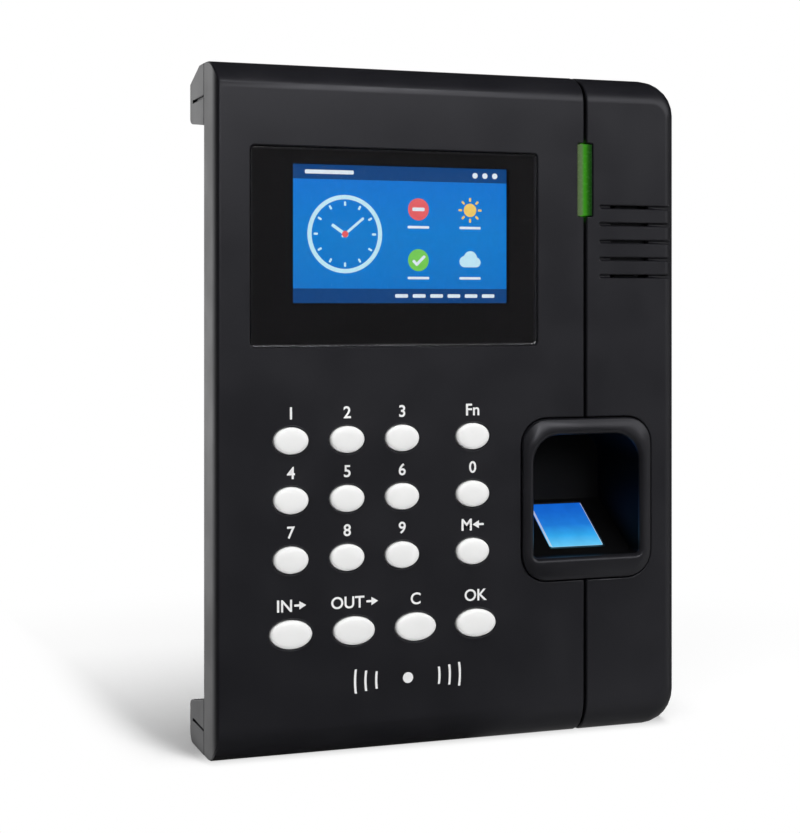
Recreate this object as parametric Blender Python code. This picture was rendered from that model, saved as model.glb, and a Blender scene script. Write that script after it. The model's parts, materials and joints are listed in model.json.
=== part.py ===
"""Wall-mounted fingerprint, card and keypad access terminal, modelled as its separate pieces.

The front faces -Y, +X is to the right and +Z is up. The origin is under the middle of the terminal,
on the surface that it stands on. Depths are measured back from the front face.
"""

import math

import bmesh
import bpy
from mathutils import Vector

MM = 0.001

# Overall size
WIDTH = 140.0 * MM
HEIGHT = 190.0 * MM
DEPTH = 32.0 * MM
FIT = 0.3 * MM
OVERCUT = 2.0 * MM
ARC_STEPS = 6
QUARTER_TURN = 90
HALF_TURN = 180
FULL_TURN = 360
SHARP_ANGLE = 32

# Covers
COVER_DEPTH = 14.2 * MM
COVER_WALL = 2.6 * MM
SIDE_WALL = 2.0 * MM
TOP_RISE = 8.2 * MM
SIDE_RISE = 6.0 * MM
BASE_RISE = 10.0 * MM
EDGE_RUN = 12.0 * MM
BASE_RUN = 9.0 * MM
EDGE_STEPS = 7
LEFT_ROUND = 1.15 * MM
CORNER_RADIUS = 10.0 * MM
SEAM_INSET = 31.5 * MM
SEAM_WIDTH = 0.9 * MM
LAP_REACH = 3.0 * MM
LAP_THICKNESS = 1.2 * MM
LAP_SINK = 0.4 * MM

# Screen
LENS_LEFT_INSET = 9.5 * MM
LENS_TO_SEAM = 15.0 * MM
LENS_TOP_INSET = 23.4 * MM
LENS_HEIGHT = 54.5 * MM
LENS_THICKNESS = 1.4 * MM
LENS_RADIUS = 1.2 * MM
SCREEN_WIDTH = 63.6 * MM
SCREEN_HEIGHT = 38.0 * MM
SCREEN_SHIFT_X = 1.95 * MM
SCREEN_SHIFT_Z = 3.75 * MM
SCREEN_BORDER = 2.0 * MM
PANEL_MARGIN = 3.2 * MM
PANEL_THICKNESS = 2.0 * MM
BACKLIGHT_THICKNESS = 2.4 * MM
FRAME_SHEET = 0.6 * MM

# Keys
FIRST_COLUMN_INSET = 20.8 * MM
FUNCTION_COLUMN_TO_BEZEL = 15.15 * MM
FUNCTION_COLUMN_EXTRA = 5.0 * MM
COLUMN_GAPS = 3
TOP_ROW_Z = 86.8 * MM
ROW_PITCH = 16.13 * MM
BOTTOM_ROW_Z = 34.4 * MM
BOTTOM_ROW_OVERHANG = 0.94 * MM
KEY_WIDTH = 9.7 * MM
KEY_HEIGHT = 7.3 * MM
WIDE_KEY_WIDTH = 11.75 * MM
WIDE_KEY_HEIGHT = 7.7 * MM
KEY_CROWN = 1.2 * MM
KEY_SHOULDER = 0.3 * MM
KEY_DOME_TURNS = (25, 50, 74)
KEY_FLANGE = 0.7 * MM
KEY_FLANGE_THICKNESS = 0.8 * MM
KEY_STEM = 0.5 * MM
KEY_TRAVEL = 1.0 * MM
KEY_SEGMENTS = 20
PAD_HEIGHT = 0.5 * MM
PAD_SHARE = 0.6
MAT_THICKNESS = 1.2 * MM
MAT_MARGIN = 5.8 * MM
BOARD_THICKNESS = 1.6 * MM
BOARD_BORDER = 6.4 * MM
POST_RADIUS = 2.4 * MM

# Fingerprint sensor
BEZEL_INSET = 31.0 * MM
BEZEL_WIDTH = 40.4 * MM
BEZEL_BOTTOM = 45.0 * MM
BEZEL_HEIGHT = 46.1 * MM
BEZEL_RADIUS = 7.5 * MM
BEZEL_PROUD = 0.9 * MM
BEZEL_SINK = 1.0 * MM
BEZEL_ROUND = 0.7 * MM
BEZEL_ROUND_MIDDLE = 0.3
WELL_WIDTH = 33.6 * MM
WELL_HEIGHT = 35.3 * MM
WELL_SILL = 6.3 * MM
WELL_TOP_RADIUS = 8.0 * MM
WELL_BOTTOM_RADIUS = 1.5 * MM
WELL_DRAFT = 1.5 * MM
WELL_WALL = 1.8 * MM
WELL_DEPTH = 24.6 * MM
PLATEN_SHIFT = 0.4 * MM
PLATEN_WIDTH = 16.8 * MM
PLATEN_NEAR = 7.0 * MM
PLATEN_FAR = 23.0 * MM
PLATEN_LOW = 2.0 * MM
PLATEN_RISE = 10.8 * MM
OPTICS_DEPTH = 1.4 * MM

# Status light, louvres and speaker
LED_WIDTH = 4.1 * MM
LED_HEIGHT = 20.4 * MM
LED_TOP_INSET = 20.3 * MM
LED_PROUD = 0.2 * MM
LED_FLANGE = 1.5 * MM
LED_FLANGE_THICKNESS = 1.2 * MM
LED_LENGTH = 6.5 * MM
LOUVRE_COUNT = 5
LOUVRE_PITCH = 5.0 * MM
LOUVRE_TOP_INSET = 38.1 * MM
LOUVRE_HEIGHT = 0.9 * MM
LOUVRE_DEPTH = 0.9 * MM
LOUVRE_SEAM_GAP = 4.6 * MM
SLOT_WIDTH = 12.0 * MM
SPEAKER_INSET = 17.0 * MM
SPEAKER_RADIUS = 9.5 * MM
SPEAKER_DEPTH = 4.5 * MM
SPEAKER_WALL = 1.4 * MM

# Card antenna
ANTENNA_WIDTH = 62.0 * MM
ANTENNA_HEIGHT = 11.5 * MM
ANTENNA_BOTTOM = 10.5 * MM
ANTENNA_LEFT_INSET = 22.0 * MM

# Rear housing
HUMP_INSET = 8.0 * MM
HUMP_DEPTH = 30.0 * MM
REAR_WALL = 2.2 * MM
FLANGE_LAP = 2.4 * MM
RAIL_HEIGHT_TOP = 17.1 * MM
RAIL_HEIGHT_BOTTOM = 15.2 * MM
RAIL_TAPER_TOP = 1.6 * MM
RAIL_TAPER_BOTTOM = 2.9 * MM
RAIL_SETBACK = 0.4 * MM
RAIL_ROUND = 3.6 * MM
RAIL_ROUND_RISE = 1.8 * MM
BASE_ROUND = 3.2 * MM
TOP_SLOPE_RUN = 11.6 * MM
TOP_SLOPE_DROP = 3.9 * MM
CAVITY_FLOOR = 4.5 * MM
CAVITY_CEILING = 7.0 * MM
RAIL_GROOVE = 0.8 * MM
RAIL_GROOVE_LOW = 6.8 * MM
RAIL_GROOVE_HIGH = 9.2 * MM

# Boards and connectors
MAIN_BOARD_DEPTH = 12.8 * MM
MAIN_BOARD_LEFT_INSET = 20.0 * MM
MAIN_BOARD_WIDTH = 69.0 * MM
MAIN_BOARD_BOTTOM = 21.0 * MM
MAIN_BOARD_HEIGHT = 139.0 * MM
BOARD_CLEARANCE = 1.2 * MM
BOARD_SCREW_INSET = 4.6 * MM
CONNECTOR_SENSOR_GAP = 1.5 * MM
CONNECTOR_LENGTH = 13.6 * MM
CONNECTOR_GAP = 2.4 * MM
CONNECTOR_WALL = 1.0 * MM
CONNECTOR_WINDOW_MARGIN = 1.2 * MM
ETHERNET_WIDTH = 16.0 * MM
ETHERNET_HEIGHT = 13.6 * MM
USB_WIDTH = 14.6 * MM
USB_HEIGHT = 7.2 * MM
POWER_WIDTH = 9.4 * MM
POWER_HEIGHT = 11.0 * MM
POWER_BORE = 3.2 * MM
POWER_PIN = 1.0 * MM
TERMINAL_PITCH = 3.81 * MM
TERMINAL_WAYS = 5
TERMINAL_HEIGHT = 9.0 * MM
TERMINAL_END = 0.8 * MM
TERMINAL_HOLE = 1.2 * MM
RELAY_WIDTH = 15.0 * MM
RELAY_DEPTH = 10.5 * MM
RELAY_HEIGHT = 19.0 * MM
RELAY_INSET = 2.0 * MM
RELAY_BOTTOM = 100.0 * MM
CELL_RADIUS = 10.0 * MM
CELL_THICKNESS = 3.2 * MM
CELL_INSET = 22.0 * MM
CELL_Z = 128.0 * MM
HOLDER_WALL = 1.4 * MM
HOLDER_BASE = 1.0 * MM
HOLDER_RIM_SHARE = 0.8
RIBBON_THICKNESS = 0.4 * MM
RIBBON_WIDTH = 16.0 * MM
CABLE_WIDTH = 6.0 * MM
CABLE_SWING = 4.0 * MM
CABLE_LANDING = 4.0 * MM

# Fasteners
SCREW_RADIUS = 1.2 * MM
SCREW_HEAD_RADIUS = 2.3 * MM
SCREW_HEAD = 1.5 * MM
SCREW_SLOT = 0.6 * MM
BOSS_RADIUS = 3.2 * MM
HOUSING_SCREW_INSET = 4.8 * MM
HOUSING_SCREW_LENGTH = 6.0 * MM
HOUSING_SCREW_LOW = 38.0 * MM
HOUSING_SCREW_HIGH = 150.0 * MM
BOARD_SCREW_LENGTH = 7.0 * MM
SCREW_SEGMENTS = 14

# Wall bracket
BRACKET_THICKNESS = 1.6 * MM
BRACKET_SIDE_INSET = 4.0 * MM
BRACKET_RAIL_GAP = 4.8 * MM
BRACKET_RADIUS = 4.0 * MM
BRACKET_HOLE_RADIUS = 2.4 * MM
BRACKET_HOLE_INSET = 7.0 * MM
CABLE_HOLE_MARGIN = 1.0 * MM
HOOK_WIDTH = 12.0 * MM
HOOK_SPREAD = 32.0 * MM
HOOK_INSET = 20.0 * MM
HOOK_RISE = 6.0 * MM
TONGUE_WIDTH = 24.0 * MM
TONGUE_Z = 7.0 * MM
TAB_LENGTH = 9.0 * MM
LOCK_SCREW_RADIUS = 1.5 * MM
LOCK_HEAD_RADIUS = 2.8 * MM
LOCK_HEAD = 1.8 * MM
LOCK_RECESS = 0.5 * MM

# Places worked out from the sizes above
FACE_Y = KEY_CROWN - (DEPTH + KEY_CROWN) / 2
LEFT = -WIDTH / 2
RIGHT = WIDTH / 2
SEAM_X = RIGHT - SEAM_INSET
FRONT_COVER_END = SEAM_X - SEAM_WIDTH / 2
SIDE_COVER_START = SEAM_X + SEAM_WIDTH / 2
COVER_BACK = COVER_WALL + FIT
LENS_LEFT = LEFT + LENS_LEFT_INSET
LENS_RIGHT = SEAM_X - LENS_TO_SEAM
LENS_TOP = HEIGHT - LENS_TOP_INSET
LENS_BOTTOM = LENS_TOP - LENS_HEIGHT
SCREEN_X = (LENS_LEFT + LENS_RIGHT) / 2 + SCREEN_SHIFT_X
SCREEN_Z = (LENS_BOTTOM + LENS_TOP) / 2 + SCREEN_SHIFT_Z
PANEL_FRONT = COVER_BACK + FRAME_SHEET + FIT
PANEL_BACK = PANEL_FRONT + PANEL_THICKNESS
BACKLIGHT_BACK = PANEL_BACK + FIT + BACKLIGHT_THICKNESS
BEZEL_X = RIGHT - BEZEL_INSET
FIRST_COLUMN_X = LEFT + FIRST_COLUMN_INSET
FUNCTION_COLUMN_X = BEZEL_X - BEZEL_WIDTH / 2 - FUNCTION_COLUMN_TO_BEZEL
COLUMN_PITCH = (FUNCTION_COLUMN_X - FIRST_COLUMN_X - FUNCTION_COLUMN_EXTRA) / COLUMN_GAPS
BOTTOM_PITCH = (FUNCTION_COLUMN_X - FIRST_COLUMN_X + BOTTOM_ROW_OVERHANG) / COLUMN_GAPS
KEY_FLANGE_BACK = COVER_BACK + KEY_FLANGE_THICKNESS
KEY_STEM_BACK = KEY_FLANGE_BACK + KEY_STEM
PAD_FRONT = KEY_STEM_BACK + KEY_TRAVEL + FIT
MAT_FRONT = PAD_FRONT + PAD_HEIGHT
MAT_BACK = MAT_FRONT + MAT_THICKNESS
KEYPAD_BOARD_FRONT = MAT_BACK + FIT
KEYPAD_BOARD_BACK = KEYPAD_BOARD_FRONT + BOARD_THICKNESS
BEZEL_TOP = BEZEL_BOTTOM + BEZEL_HEIGHT
WELL_BOTTOM = BEZEL_BOTTOM + WELL_SILL
WELL_TOP = WELL_BOTTOM + WELL_HEIGHT
WELL_BACK = WELL_DEPTH + WELL_WALL
SENSOR_LEFT = BEZEL_X - WELL_WIDTH / 2 - WELL_WALL
SENSOR_LOW = WELL_BOTTOM - WELL_WALL
PLATEN_X = BEZEL_X + PLATEN_SHIFT
PLATEN_FRONT_Z = WELL_BOTTOM + PLATEN_LOW
PLATEN_BACK_Z = PLATEN_FRONT_Z + PLATEN_RISE
PLATEN_SLOPE = PLATEN_RISE / (PLATEN_FAR - PLATEN_NEAR)
OPTICS_BACK = PLATEN_FAR + FIT + OPTICS_DEPTH
LED_TOP = HEIGHT - LED_TOP_INSET
LED_BOTTOM = LED_TOP - LED_HEIGHT
LOUVRE_TOP = HEIGHT - LOUVRE_TOP_INSET
SPEAKER_X = RIGHT - SPEAKER_INSET
SPEAKER_Z = LOUVRE_TOP - (LOUVRE_COUNT - 1) * LOUVRE_PITCH / 2
FLANGE_FRONT = COVER_DEPTH - FLANGE_LAP
RAIL_FRONT = COVER_DEPTH + FIT
RAIL_BACK = DEPTH - RAIL_SETBACK
FLANGE_BACK = RAIL_FRONT + FIT
HUMP_SIDE = RIGHT - HUMP_INSET
REAR_INSIDE = HUMP_DEPTH - REAR_WALL
MAIN_BOARD_LEFT = LEFT + MAIN_BOARD_LEFT_INSET
MAIN_BOARD_RIGHT = MAIN_BOARD_LEFT + MAIN_BOARD_WIDTH
MAIN_BOARD_TOP = MAIN_BOARD_BOTTOM + MAIN_BOARD_HEIGHT
MAIN_BOARD_BACK = MAIN_BOARD_DEPTH + BOARD_THICKNESS
ON_BOARD = MAIN_BOARD_BACK + FIT
CONNECTOR_BACK = ON_BOARD + CONNECTOR_LENGTH
CONNECTOR_Z = SENSOR_LOW - CONNECTOR_SENSOR_GAP - ETHERNET_HEIGHT / 2
TERMINAL_WIDTH = TERMINAL_WAYS * TERMINAL_PITCH + TERMINAL_END
BRACKET_FRONT = DEPTH - BRACKET_THICKNESS
BRACKET_WIDTH = 2 * (HUMP_SIDE - BRACKET_SIDE_INSET)
BRACKET_BOTTOM = RAIL_HEIGHT_BOTTOM + BRACKET_RAIL_GAP
BRACKET_TOP = HEIGHT - RAIL_HEIGHT_TOP - BRACKET_RAIL_GAP
HOOK_Z = BRACKET_TOP - HOOK_INSET
HOOK_FRONT = REAR_INSIDE - FIT - BRACKET_THICKNESS
TAB_FRONT = BRACKET_FRONT - TAB_LENGTH
LOCK_SCREW_DEPTH = BRACKET_FRONT - TAB_LENGTH / 2
LOCK_SEAT = LOCK_RECESS + LOCK_HEAD + FIT


# Outlines, as lists of points in a plane

def arc(centre_a, centre_b, radius_a, radius_b, start, end, steps=ARC_STEPS):
    """Points on a stretch of an ellipse, from the start angle to the end angle in degrees."""
    points = []
    for step in range(steps + 1):
        angle = math.radians(start + (end - start) * step / steps)
        points.append((centre_a + radius_a * math.cos(angle), centre_b + radius_b * math.sin(angle)))
    return points


def oval(centre_a, centre_b, width, height, steps):
    """A closed ellipse."""
    return arc(centre_a, centre_b, width / 2, height / 2, 0, FULL_TURN, steps)[:-1]


def round_outline(centre_a, centre_b, radius, steps=SCREW_SEGMENTS):
    """A closed circle."""
    return oval(centre_a, centre_b, 2 * radius, 2 * radius, steps)


def rectangle(low_a, high_a, low_b, high_b, radii=(0, 0, 0, 0)):
    """A rectangle whose corners have the given radii: lower left, lower right, upper right, upper left."""
    corners = [(low_a, low_b, 1, 1), (high_a, low_b, -1, 1)]
    corners += [(high_a, high_b, -1, -1), (low_a, high_b, 1, -1)]
    points = []
    for turn, ((a, b, way_a, way_b), radius) in enumerate(zip(corners, radii)):
        if radius > 0:
            start = HALF_TURN + QUARTER_TURN * turn
            end = start + QUARTER_TURN
            points += arc(a + way_a * radius, b + way_b * radius, radius, radius, start, end)
        else:
            points.append((a, b))
    return points


def band(path, thickness):
    """The outline of a strip of even thickness that follows a path."""
    near, far = [], []
    for index, point in enumerate(path):
        before = Vector(path[max(index - 1, 0)])
        after = Vector(path[min(index + 1, len(path) - 1)])
        along = (after - before).normalized()
        across = Vector((-along.y, along.x)) * (thickness / 2)
        near.append(tuple(Vector(point) + across))
        far.append(tuple(Vector(point) - across))
    return near + far[::-1]


def swing(start, end, steps=ARC_STEPS):
    """A smooth S-shaped path from one point to another, leaving and arriving along the second axis."""
    points = []
    for step in range(steps + 1):
        share = step / steps
        ease = share * share * (3 - 2 * share)
        points.append((start[0] + (end[0] - start[0]) * ease, start[1] + (end[1] - start[1]) * share))
    return points


# Placing outlines in space

def in_front_plane(outline, depth):
    """Puts an outline of (x, z) points at a depth behind the front face."""
    return [Vector((x, FACE_Y + depth, z)) for x, z in outline]


def in_side_plane(outline, x):
    """Puts an outline of (depth, z) points at a distance along X."""
    return [Vector((x, FACE_Y + depth, z)) for depth, z in outline]


def in_plan(outline, z):
    """Puts an outline of (x, depth) points at a height."""
    return [Vector((x, FACE_Y + depth, z)) for x, depth in outline]


# Solids

def make_material(name, colour, roughness, metallic=0.0):
    """A Principled BSDF material."""
    material = bpy.data.materials.new(name)
    material.use_nodes = True
    shader = material.node_tree.nodes["Principled BSDF"]
    shader.inputs["Base Color"].default_value = (*colour, 1.0)
    shader.inputs["Roughness"].default_value = roughness
    shader.inputs["Metallic"].default_value = metallic
    return material


def loft(name, rings, material=None, origin=(0, 0, 0)):
    """A closed solid through rings of equally many points, with a flat cap on each end."""
    origin = Vector(origin)
    body = bmesh.new()
    loops = [[body.verts.new(point - origin) for point in ring] for ring in rings]
    for near, far in zip(loops, loops[1:]):
        for index, corner in enumerate(near):
            after = (index + 1) % len(near)
            body.faces.new((corner, near[after], far[after], far[index]))
    body.faces.new(loops[0])
    body.faces.new(loops[-1])
    bmesh.ops.recalc_face_normals(body, faces=body.faces)
    mesh = bpy.data.meshes.new(name)
    body.to_mesh(mesh)
    body.free()
    mesh.shade_smooth()
    mesh.set_sharp_from_angle(angle=math.radians(SHARP_ANGLE))
    thing = bpy.data.objects.new(name, mesh)
    thing.location = origin
    bpy.context.scene.collection.objects.link(thing)
    if material:
        mesh.materials.append(material)
    return thing


def plate(name, outline, front, back, material=None, origin=(0, 0, 0)):
    """An outline in the front plane, thickened from one depth to another."""
    return loft(name, [in_front_plane(outline, front), in_front_plane(outline, back)], material, origin)


def beam(name, outline, low_x, high_x, material=None, origin=(0, 0, 0)):
    """A side-view outline drawn out along X."""
    return loft(name, [in_side_plane(outline, low_x), in_side_plane(outline, high_x)], material, origin)


def column(name, outline, low_z, high_z, material=None, origin=(0, 0, 0)):
    """A plan-view outline drawn up along Z."""
    return loft(name, [in_plan(outline, low_z), in_plan(outline, high_z)], material, origin)


def peg(name, x, z, radius, front, back, material=None):
    """A round rod along the depth."""
    return plate(name, round_outline(x, z, radius), front, back, material)


def helper(thing):
    """Marks an object as a cutting or joining tool that is no piece of the terminal."""
    thing.hide_render = True
    thing.display_type = "WIRE"
    return thing


def combine(target, tools, operation):
    """Adds a Boolean for each tool and marks the tools as helpers."""
    for tool in tools:
        step = target.modifiers.new(f"{operation.lower()} {tool.name}", "BOOLEAN")
        step.operation = operation
        step.solver = "EXACT"
        step.object = helper(tool)
    return target


def cut(target, *tools):
    return combine(target, tools, "DIFFERENCE")


def add(target, *tools):
    return combine(target, tools, "UNION")


def merged(name, things):
    """One helper mesh out of several that lie apart from each other."""
    body = bmesh.new()
    for thing in things:
        body.from_mesh(thing.data)
        bpy.data.objects.remove(thing)
    mesh = bpy.data.meshes.new(name)
    body.to_mesh(mesh)
    body.free()
    joined = bpy.data.objects.new(name, mesh)
    bpy.context.scene.collection.objects.link(joined)
    return helper(joined)


# Covers

def edge_inset(depth, rise, run):
    """How far a curved front edge stands in from its side at a depth."""
    if depth >= run:
        return 0.0
    return rise * (1 - math.sqrt(1 - (1 - depth / run) ** 2))


def cover_rings(low_x, high_x, corner, offset, rounded_end, left_round=0.0):
    """Rings of a cover's curved front edge, set in by an offset: the face first, the back last."""
    rings = []
    for step in range(EDGE_STEPS + 1):
        sink = (EDGE_RUN - offset) * (1 - math.cos(math.pi / 2 * step / EDGE_STEPS))
        top = offset + edge_inset(sink, TOP_RISE, EDGE_RUN - offset)
        side = offset + edge_inset(sink, SIDE_RISE, EDGE_RUN - offset)
        base = offset + edge_inset(sink, BASE_RISE, BASE_RUN - offset)
        start = low_x + (edge_inset(sink, left_round, left_round) if left_round else 0)
        end = high_x - side if rounded_end else high_x
        radius = max(corner - side, FIT) if rounded_end else 0
        outline = rectangle(start, end, base, HEIGHT - top, (0, radius, radius, 0))
        rings.append(in_front_plane(outline, offset + sink))
    last_depth = COVER_DEPTH + (OVERCUT if offset else 0)
    rings.append([Vector((p.x, FACE_Y + last_depth, p.z)) for p in rings[-1]])
    return rings


def bezel_outline(grow=0.0):
    radius = BEZEL_RADIUS + grow
    half = BEZEL_WIDTH / 2 + grow
    return rectangle(BEZEL_X - half, BEZEL_X + half, BEZEL_BOTTOM - grow, BEZEL_TOP + grow, (radius,) * 4)


def well_outline(grow=0.0):
    top = max(WELL_TOP_RADIUS + grow, FIT)
    low = max(WELL_BOTTOM_RADIUS + grow, FIT)
    half = WELL_WIDTH / 2 + grow
    radii = (low, low, top, top)
    return rectangle(BEZEL_X - half, BEZEL_X + half, WELL_BOTTOM - grow, WELL_TOP + grow, radii)


def light_outline(grow=0.0):
    half = LED_WIDTH / 2 + grow
    return rectangle(SEAM_X - half, SEAM_X + half, LED_BOTTOM - grow, LED_TOP + grow)


def cut_shared_openings(cover):
    """The seats of the finger well and the status light, which both covers share."""
    name = cover.name
    seat = plate(f"{name}_bezel_seat", bezel_outline(FIT), -OVERCUT, BEZEL_SINK + FIT)
    well = plate(f"{name}_well_hole", well_outline(WELL_WALL + FIT), -OVERCUT, COVER_DEPTH)
    light = plate(f"{name}_light_hole", light_outline(FIT), -OVERCUT, COVER_DEPTH)
    flange = plate(f"{name}_light_flange", light_outline(LED_FLANGE + FIT), COVER_WALL, COVER_DEPTH)
    return cut(cover, seat, well, light, flange)


def add_screw_bosses(cover, x, front):
    """Bosses on the inside of a cover that take the housing screws, each with a blind hole."""
    for z in (HOUSING_SCREW_LOW, HOUSING_SCREW_HIGH):
        add(cover, peg(f"{cover.name}_boss_{z / MM:.0f}", x, z, BOSS_RADIUS, front, FLANGE_FRONT - FIT))
        bottom = RAIL_FRONT - HOUSING_SCREW_LENGTH - FIT
        cut(cover, peg(f"{cover.name}_bore_{z / MM:.0f}", x, z, SCREW_RADIUS + FIT, bottom, FLANGE_BACK))


def keypad_bounds(margin):
    """The rectangle round all sixteen key centres, grown by a margin."""
    centres = [place for _, place, _ in key_layout()]
    xs = [x for x, _ in centres]
    zs = [z for _, z in centres]
    return min(xs) - margin, max(xs) + margin, min(zs) - margin, max(zs) + margin


def keypad_posts():
    """The places of the four posts that carry the keypad board."""
    low_x, high_x, low_z, high_z = keypad_bounds(MAT_MARGIN + FIT + POST_RADIUS)
    return [(x, z) for x in (low_x, high_x) for z in (low_z, high_z)]


def make_front_cover(material):
    cover = loft("front_cover", cover_rings(LEFT, FRONT_COVER_END, 0, 0, False, LEFT_ROUND), material)
    inside = cover_rings(LEFT + SIDE_WALL, FRONT_COVER_END + OVERCUT, 0, COVER_WALL, False)
    cut(cover, loft("front_cover_inside", inside))
    lap_sink = COVER_WALL - LAP_SINK
    lap_back = COVER_BACK + LAP_THICKNESS
    lap_step = FRONT_COVER_END - FIT
    lap_start, lap_reach = SEAM_X - LAP_REACH, SEAM_X + LAP_REACH
    lap = [(lap_start, lap_sink), (lap_step, lap_sink), (lap_step, COVER_BACK)]
    lap += [(lap_reach, COVER_BACK), (lap_reach, lap_back), (lap_start, lap_back)]
    lap_end = COVER_WALL + LAP_THICKNESS
    add(cover, column("seam_lap", lap, BASE_RISE + lap_end, HEIGHT - TOP_RISE - lap_end))
    for index, (x, z) in enumerate(keypad_posts()):
        front = COVER_WALL - LAP_SINK
        add(cover, peg(f"keypad_post_{index}", x, z, POST_RADIUS, front, KEYPAD_BOARD_FRONT - FIT))
    add_screw_bosses(cover, LEFT + HOUSING_SCREW_INSET, COVER_WALL - LAP_SINK)
    pocket = rectangle(LENS_LEFT, LENS_RIGHT, LENS_BOTTOM, LENS_TOP, (LENS_RADIUS,) * 4)
    cut(cover, plate("lens_pocket", pocket, -OVERCUT, LENS_THICKNESS + FIT))
    cut(cover, plate("screen_window", screen_outline(SCREEN_BORDER), -OVERCUT, COVER_WALL + OVERCUT))
    holes = []
    for name, (x, z), (width, height) in key_layout():
        outline = oval(x, z, width + 2 * FIT, height + 2 * FIT, KEY_SEGMENTS)
        holes.append(plate(f"{name}_hole", outline, -OVERCUT, COVER_WALL + OVERCUT))
    cut(cover, merged("key_holes", holes))
    return cut_shared_openings(cover)


def make_side_cover(material):
    cover = loft("side_cover", cover_rings(SIDE_COVER_START, RIGHT, CORNER_RADIUS, 0, True), material)
    inside = cover_rings(SIDE_COVER_START - OVERCUT, RIGHT, CORNER_RADIUS, COVER_WALL, True)
    cut(cover, loft("side_cover_inside", inside))
    add_screw_bosses(cover, RIGHT - HOUSING_SCREW_INSET, EDGE_RUN / 2)
    add(cover, peg("speaker_ring", SPEAKER_X, SPEAKER_Z, SPEAKER_RADIUS + FIT + SPEAKER_WALL,
                   COVER_WALL - LAP_SINK, COVER_BACK + SPEAKER_DEPTH))
    cut(cover, peg("speaker_seat", SPEAKER_X, SPEAKER_Z, SPEAKER_RADIUS + FIT, COVER_WALL, COVER_DEPTH))
    grooves, slots = [], []
    for row in range(LOUVRE_COUNT):
        z = LOUVRE_TOP - row * LOUVRE_PITCH
        low_z, high_z = z - LOUVRE_HEIGHT / 2, z + LOUVRE_HEIGHT / 2
        groove = rectangle(SEAM_X + LOUVRE_SEAM_GAP, RIGHT + OVERCUT, low_z, high_z)
        slot = rectangle(SPEAKER_X - SLOT_WIDTH / 2, SPEAKER_X + SLOT_WIDTH / 2, low_z, high_z)
        grooves.append(plate(f"louvre_{row}", groove, -OVERCUT, LOUVRE_DEPTH))
        slots.append(plate(f"louvre_slot_{row}", slot, LOUVRE_DEPTH / 2, COVER_WALL + LAP_SINK))
    cut(cover, merged("louvre_grooves", grooves), merged("louvre_slots", slots))
    return cut_shared_openings(cover)


# Screen

def screen_outline(grow):
    half_x = SCREEN_WIDTH / 2 + grow
    half_z = SCREEN_HEIGHT / 2 + grow
    return rectangle(SCREEN_X - half_x, SCREEN_X + half_x, SCREEN_Z - half_z, SCREEN_Z + half_z)


def make_screen(lens_material, panel_material, frame_material, light_material):
    radius = LENS_RADIUS - FIT
    pane = rectangle(LENS_LEFT + FIT, LENS_RIGHT - FIT, LENS_BOTTOM + FIT, LENS_TOP - FIT, (radius,) * 4)
    plate("display_lens", pane, 0, LENS_THICKNESS, lens_material)
    plate("lcd_panel", screen_outline(PANEL_MARGIN), PANEL_FRONT, PANEL_BACK, panel_material)
    plate("lcd_backlight", screen_outline(PANEL_MARGIN), PANEL_BACK + FIT, BACKLIGHT_BACK, light_material)
    frame = plate("lcd_frame", screen_outline(PANEL_MARGIN + FIT + FRAME_SHEET), COVER_BACK,
                  BACKLIGHT_BACK, frame_material)
    cut(frame, plate("lcd_frame_inside", screen_outline(PANEL_MARGIN + FIT), COVER_BACK + FRAME_SHEET,
                     BACKLIGHT_BACK + OVERCUT))
    cut(frame, plate("lcd_frame_window", screen_outline(SCREEN_BORDER / 2), 0, PANEL_BACK))


# Keypad

def key_layout():
    """Each key's name, centre and size."""
    small = (KEY_WIDTH, KEY_HEIGHT)
    wide = (WIDE_KEY_WIDTH, WIDE_KEY_HEIGHT)
    columns = [FIRST_COLUMN_X + index * COLUMN_PITCH for index in range(COLUMN_GAPS)]
    columns.append(FUNCTION_COLUMN_X)
    rows = (("1", "2", "3", "fn"), ("4", "5", "6", "0"), ("7", "8", "9", "menu"))
    layout = []
    for row, names in enumerate(rows):
        for x, name in zip(columns, names):
            layout.append((f"key_{name}", (x, TOP_ROW_Z - row * ROW_PITCH), small))
    for index, name in enumerate(("in", "out", "clear", "ok")):
        layout.append((f"key_{name}", (FIRST_COLUMN_X + index * BOTTOM_PITCH, BOTTOM_ROW_Z), wide))
    return layout


def make_key(name, place, size, material, parent):
    """A domed key cap with a retaining flange behind the cover and a stem towards its contact pad."""
    x, z = place
    width, height = size
    rim = KEY_CROWN - KEY_SHOULDER
    rings = []
    for turn in KEY_DOME_TURNS:
        share = math.sin(math.radians(turn))
        depth = -KEY_SHOULDER - rim * math.cos(math.radians(turn))
        rings.append(in_front_plane(oval(x, z, width * share, height * share, KEY_SEGMENTS), depth))
    # The crown's first ring is brought level with the stated crown height.
    rings[0] = [Vector((p.x, FACE_Y - KEY_CROWN, p.z)) for p in rings[0]]
    body = oval(x, z, width, height, KEY_SEGMENTS)
    flange = oval(x, z, width + 2 * KEY_FLANGE, height + 2 * KEY_FLANGE, KEY_SEGMENTS)
    stem = oval(x, z, width * PAD_SHARE, height * PAD_SHARE, KEY_SEGMENTS)
    rings.append(in_front_plane(body, -KEY_SHOULDER))
    rings.append(in_front_plane(body, COVER_BACK))
    rings.append(in_front_plane(flange, COVER_BACK))
    rings.append(in_front_plane(flange, KEY_FLANGE_BACK))
    rings.append(in_front_plane(stem, KEY_FLANGE_BACK))
    rings.append(in_front_plane(stem, KEY_STEM_BACK))
    key = loft(name, rings, material, origin=(x, FACE_Y, z))
    key.parent = parent
    return key


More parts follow.
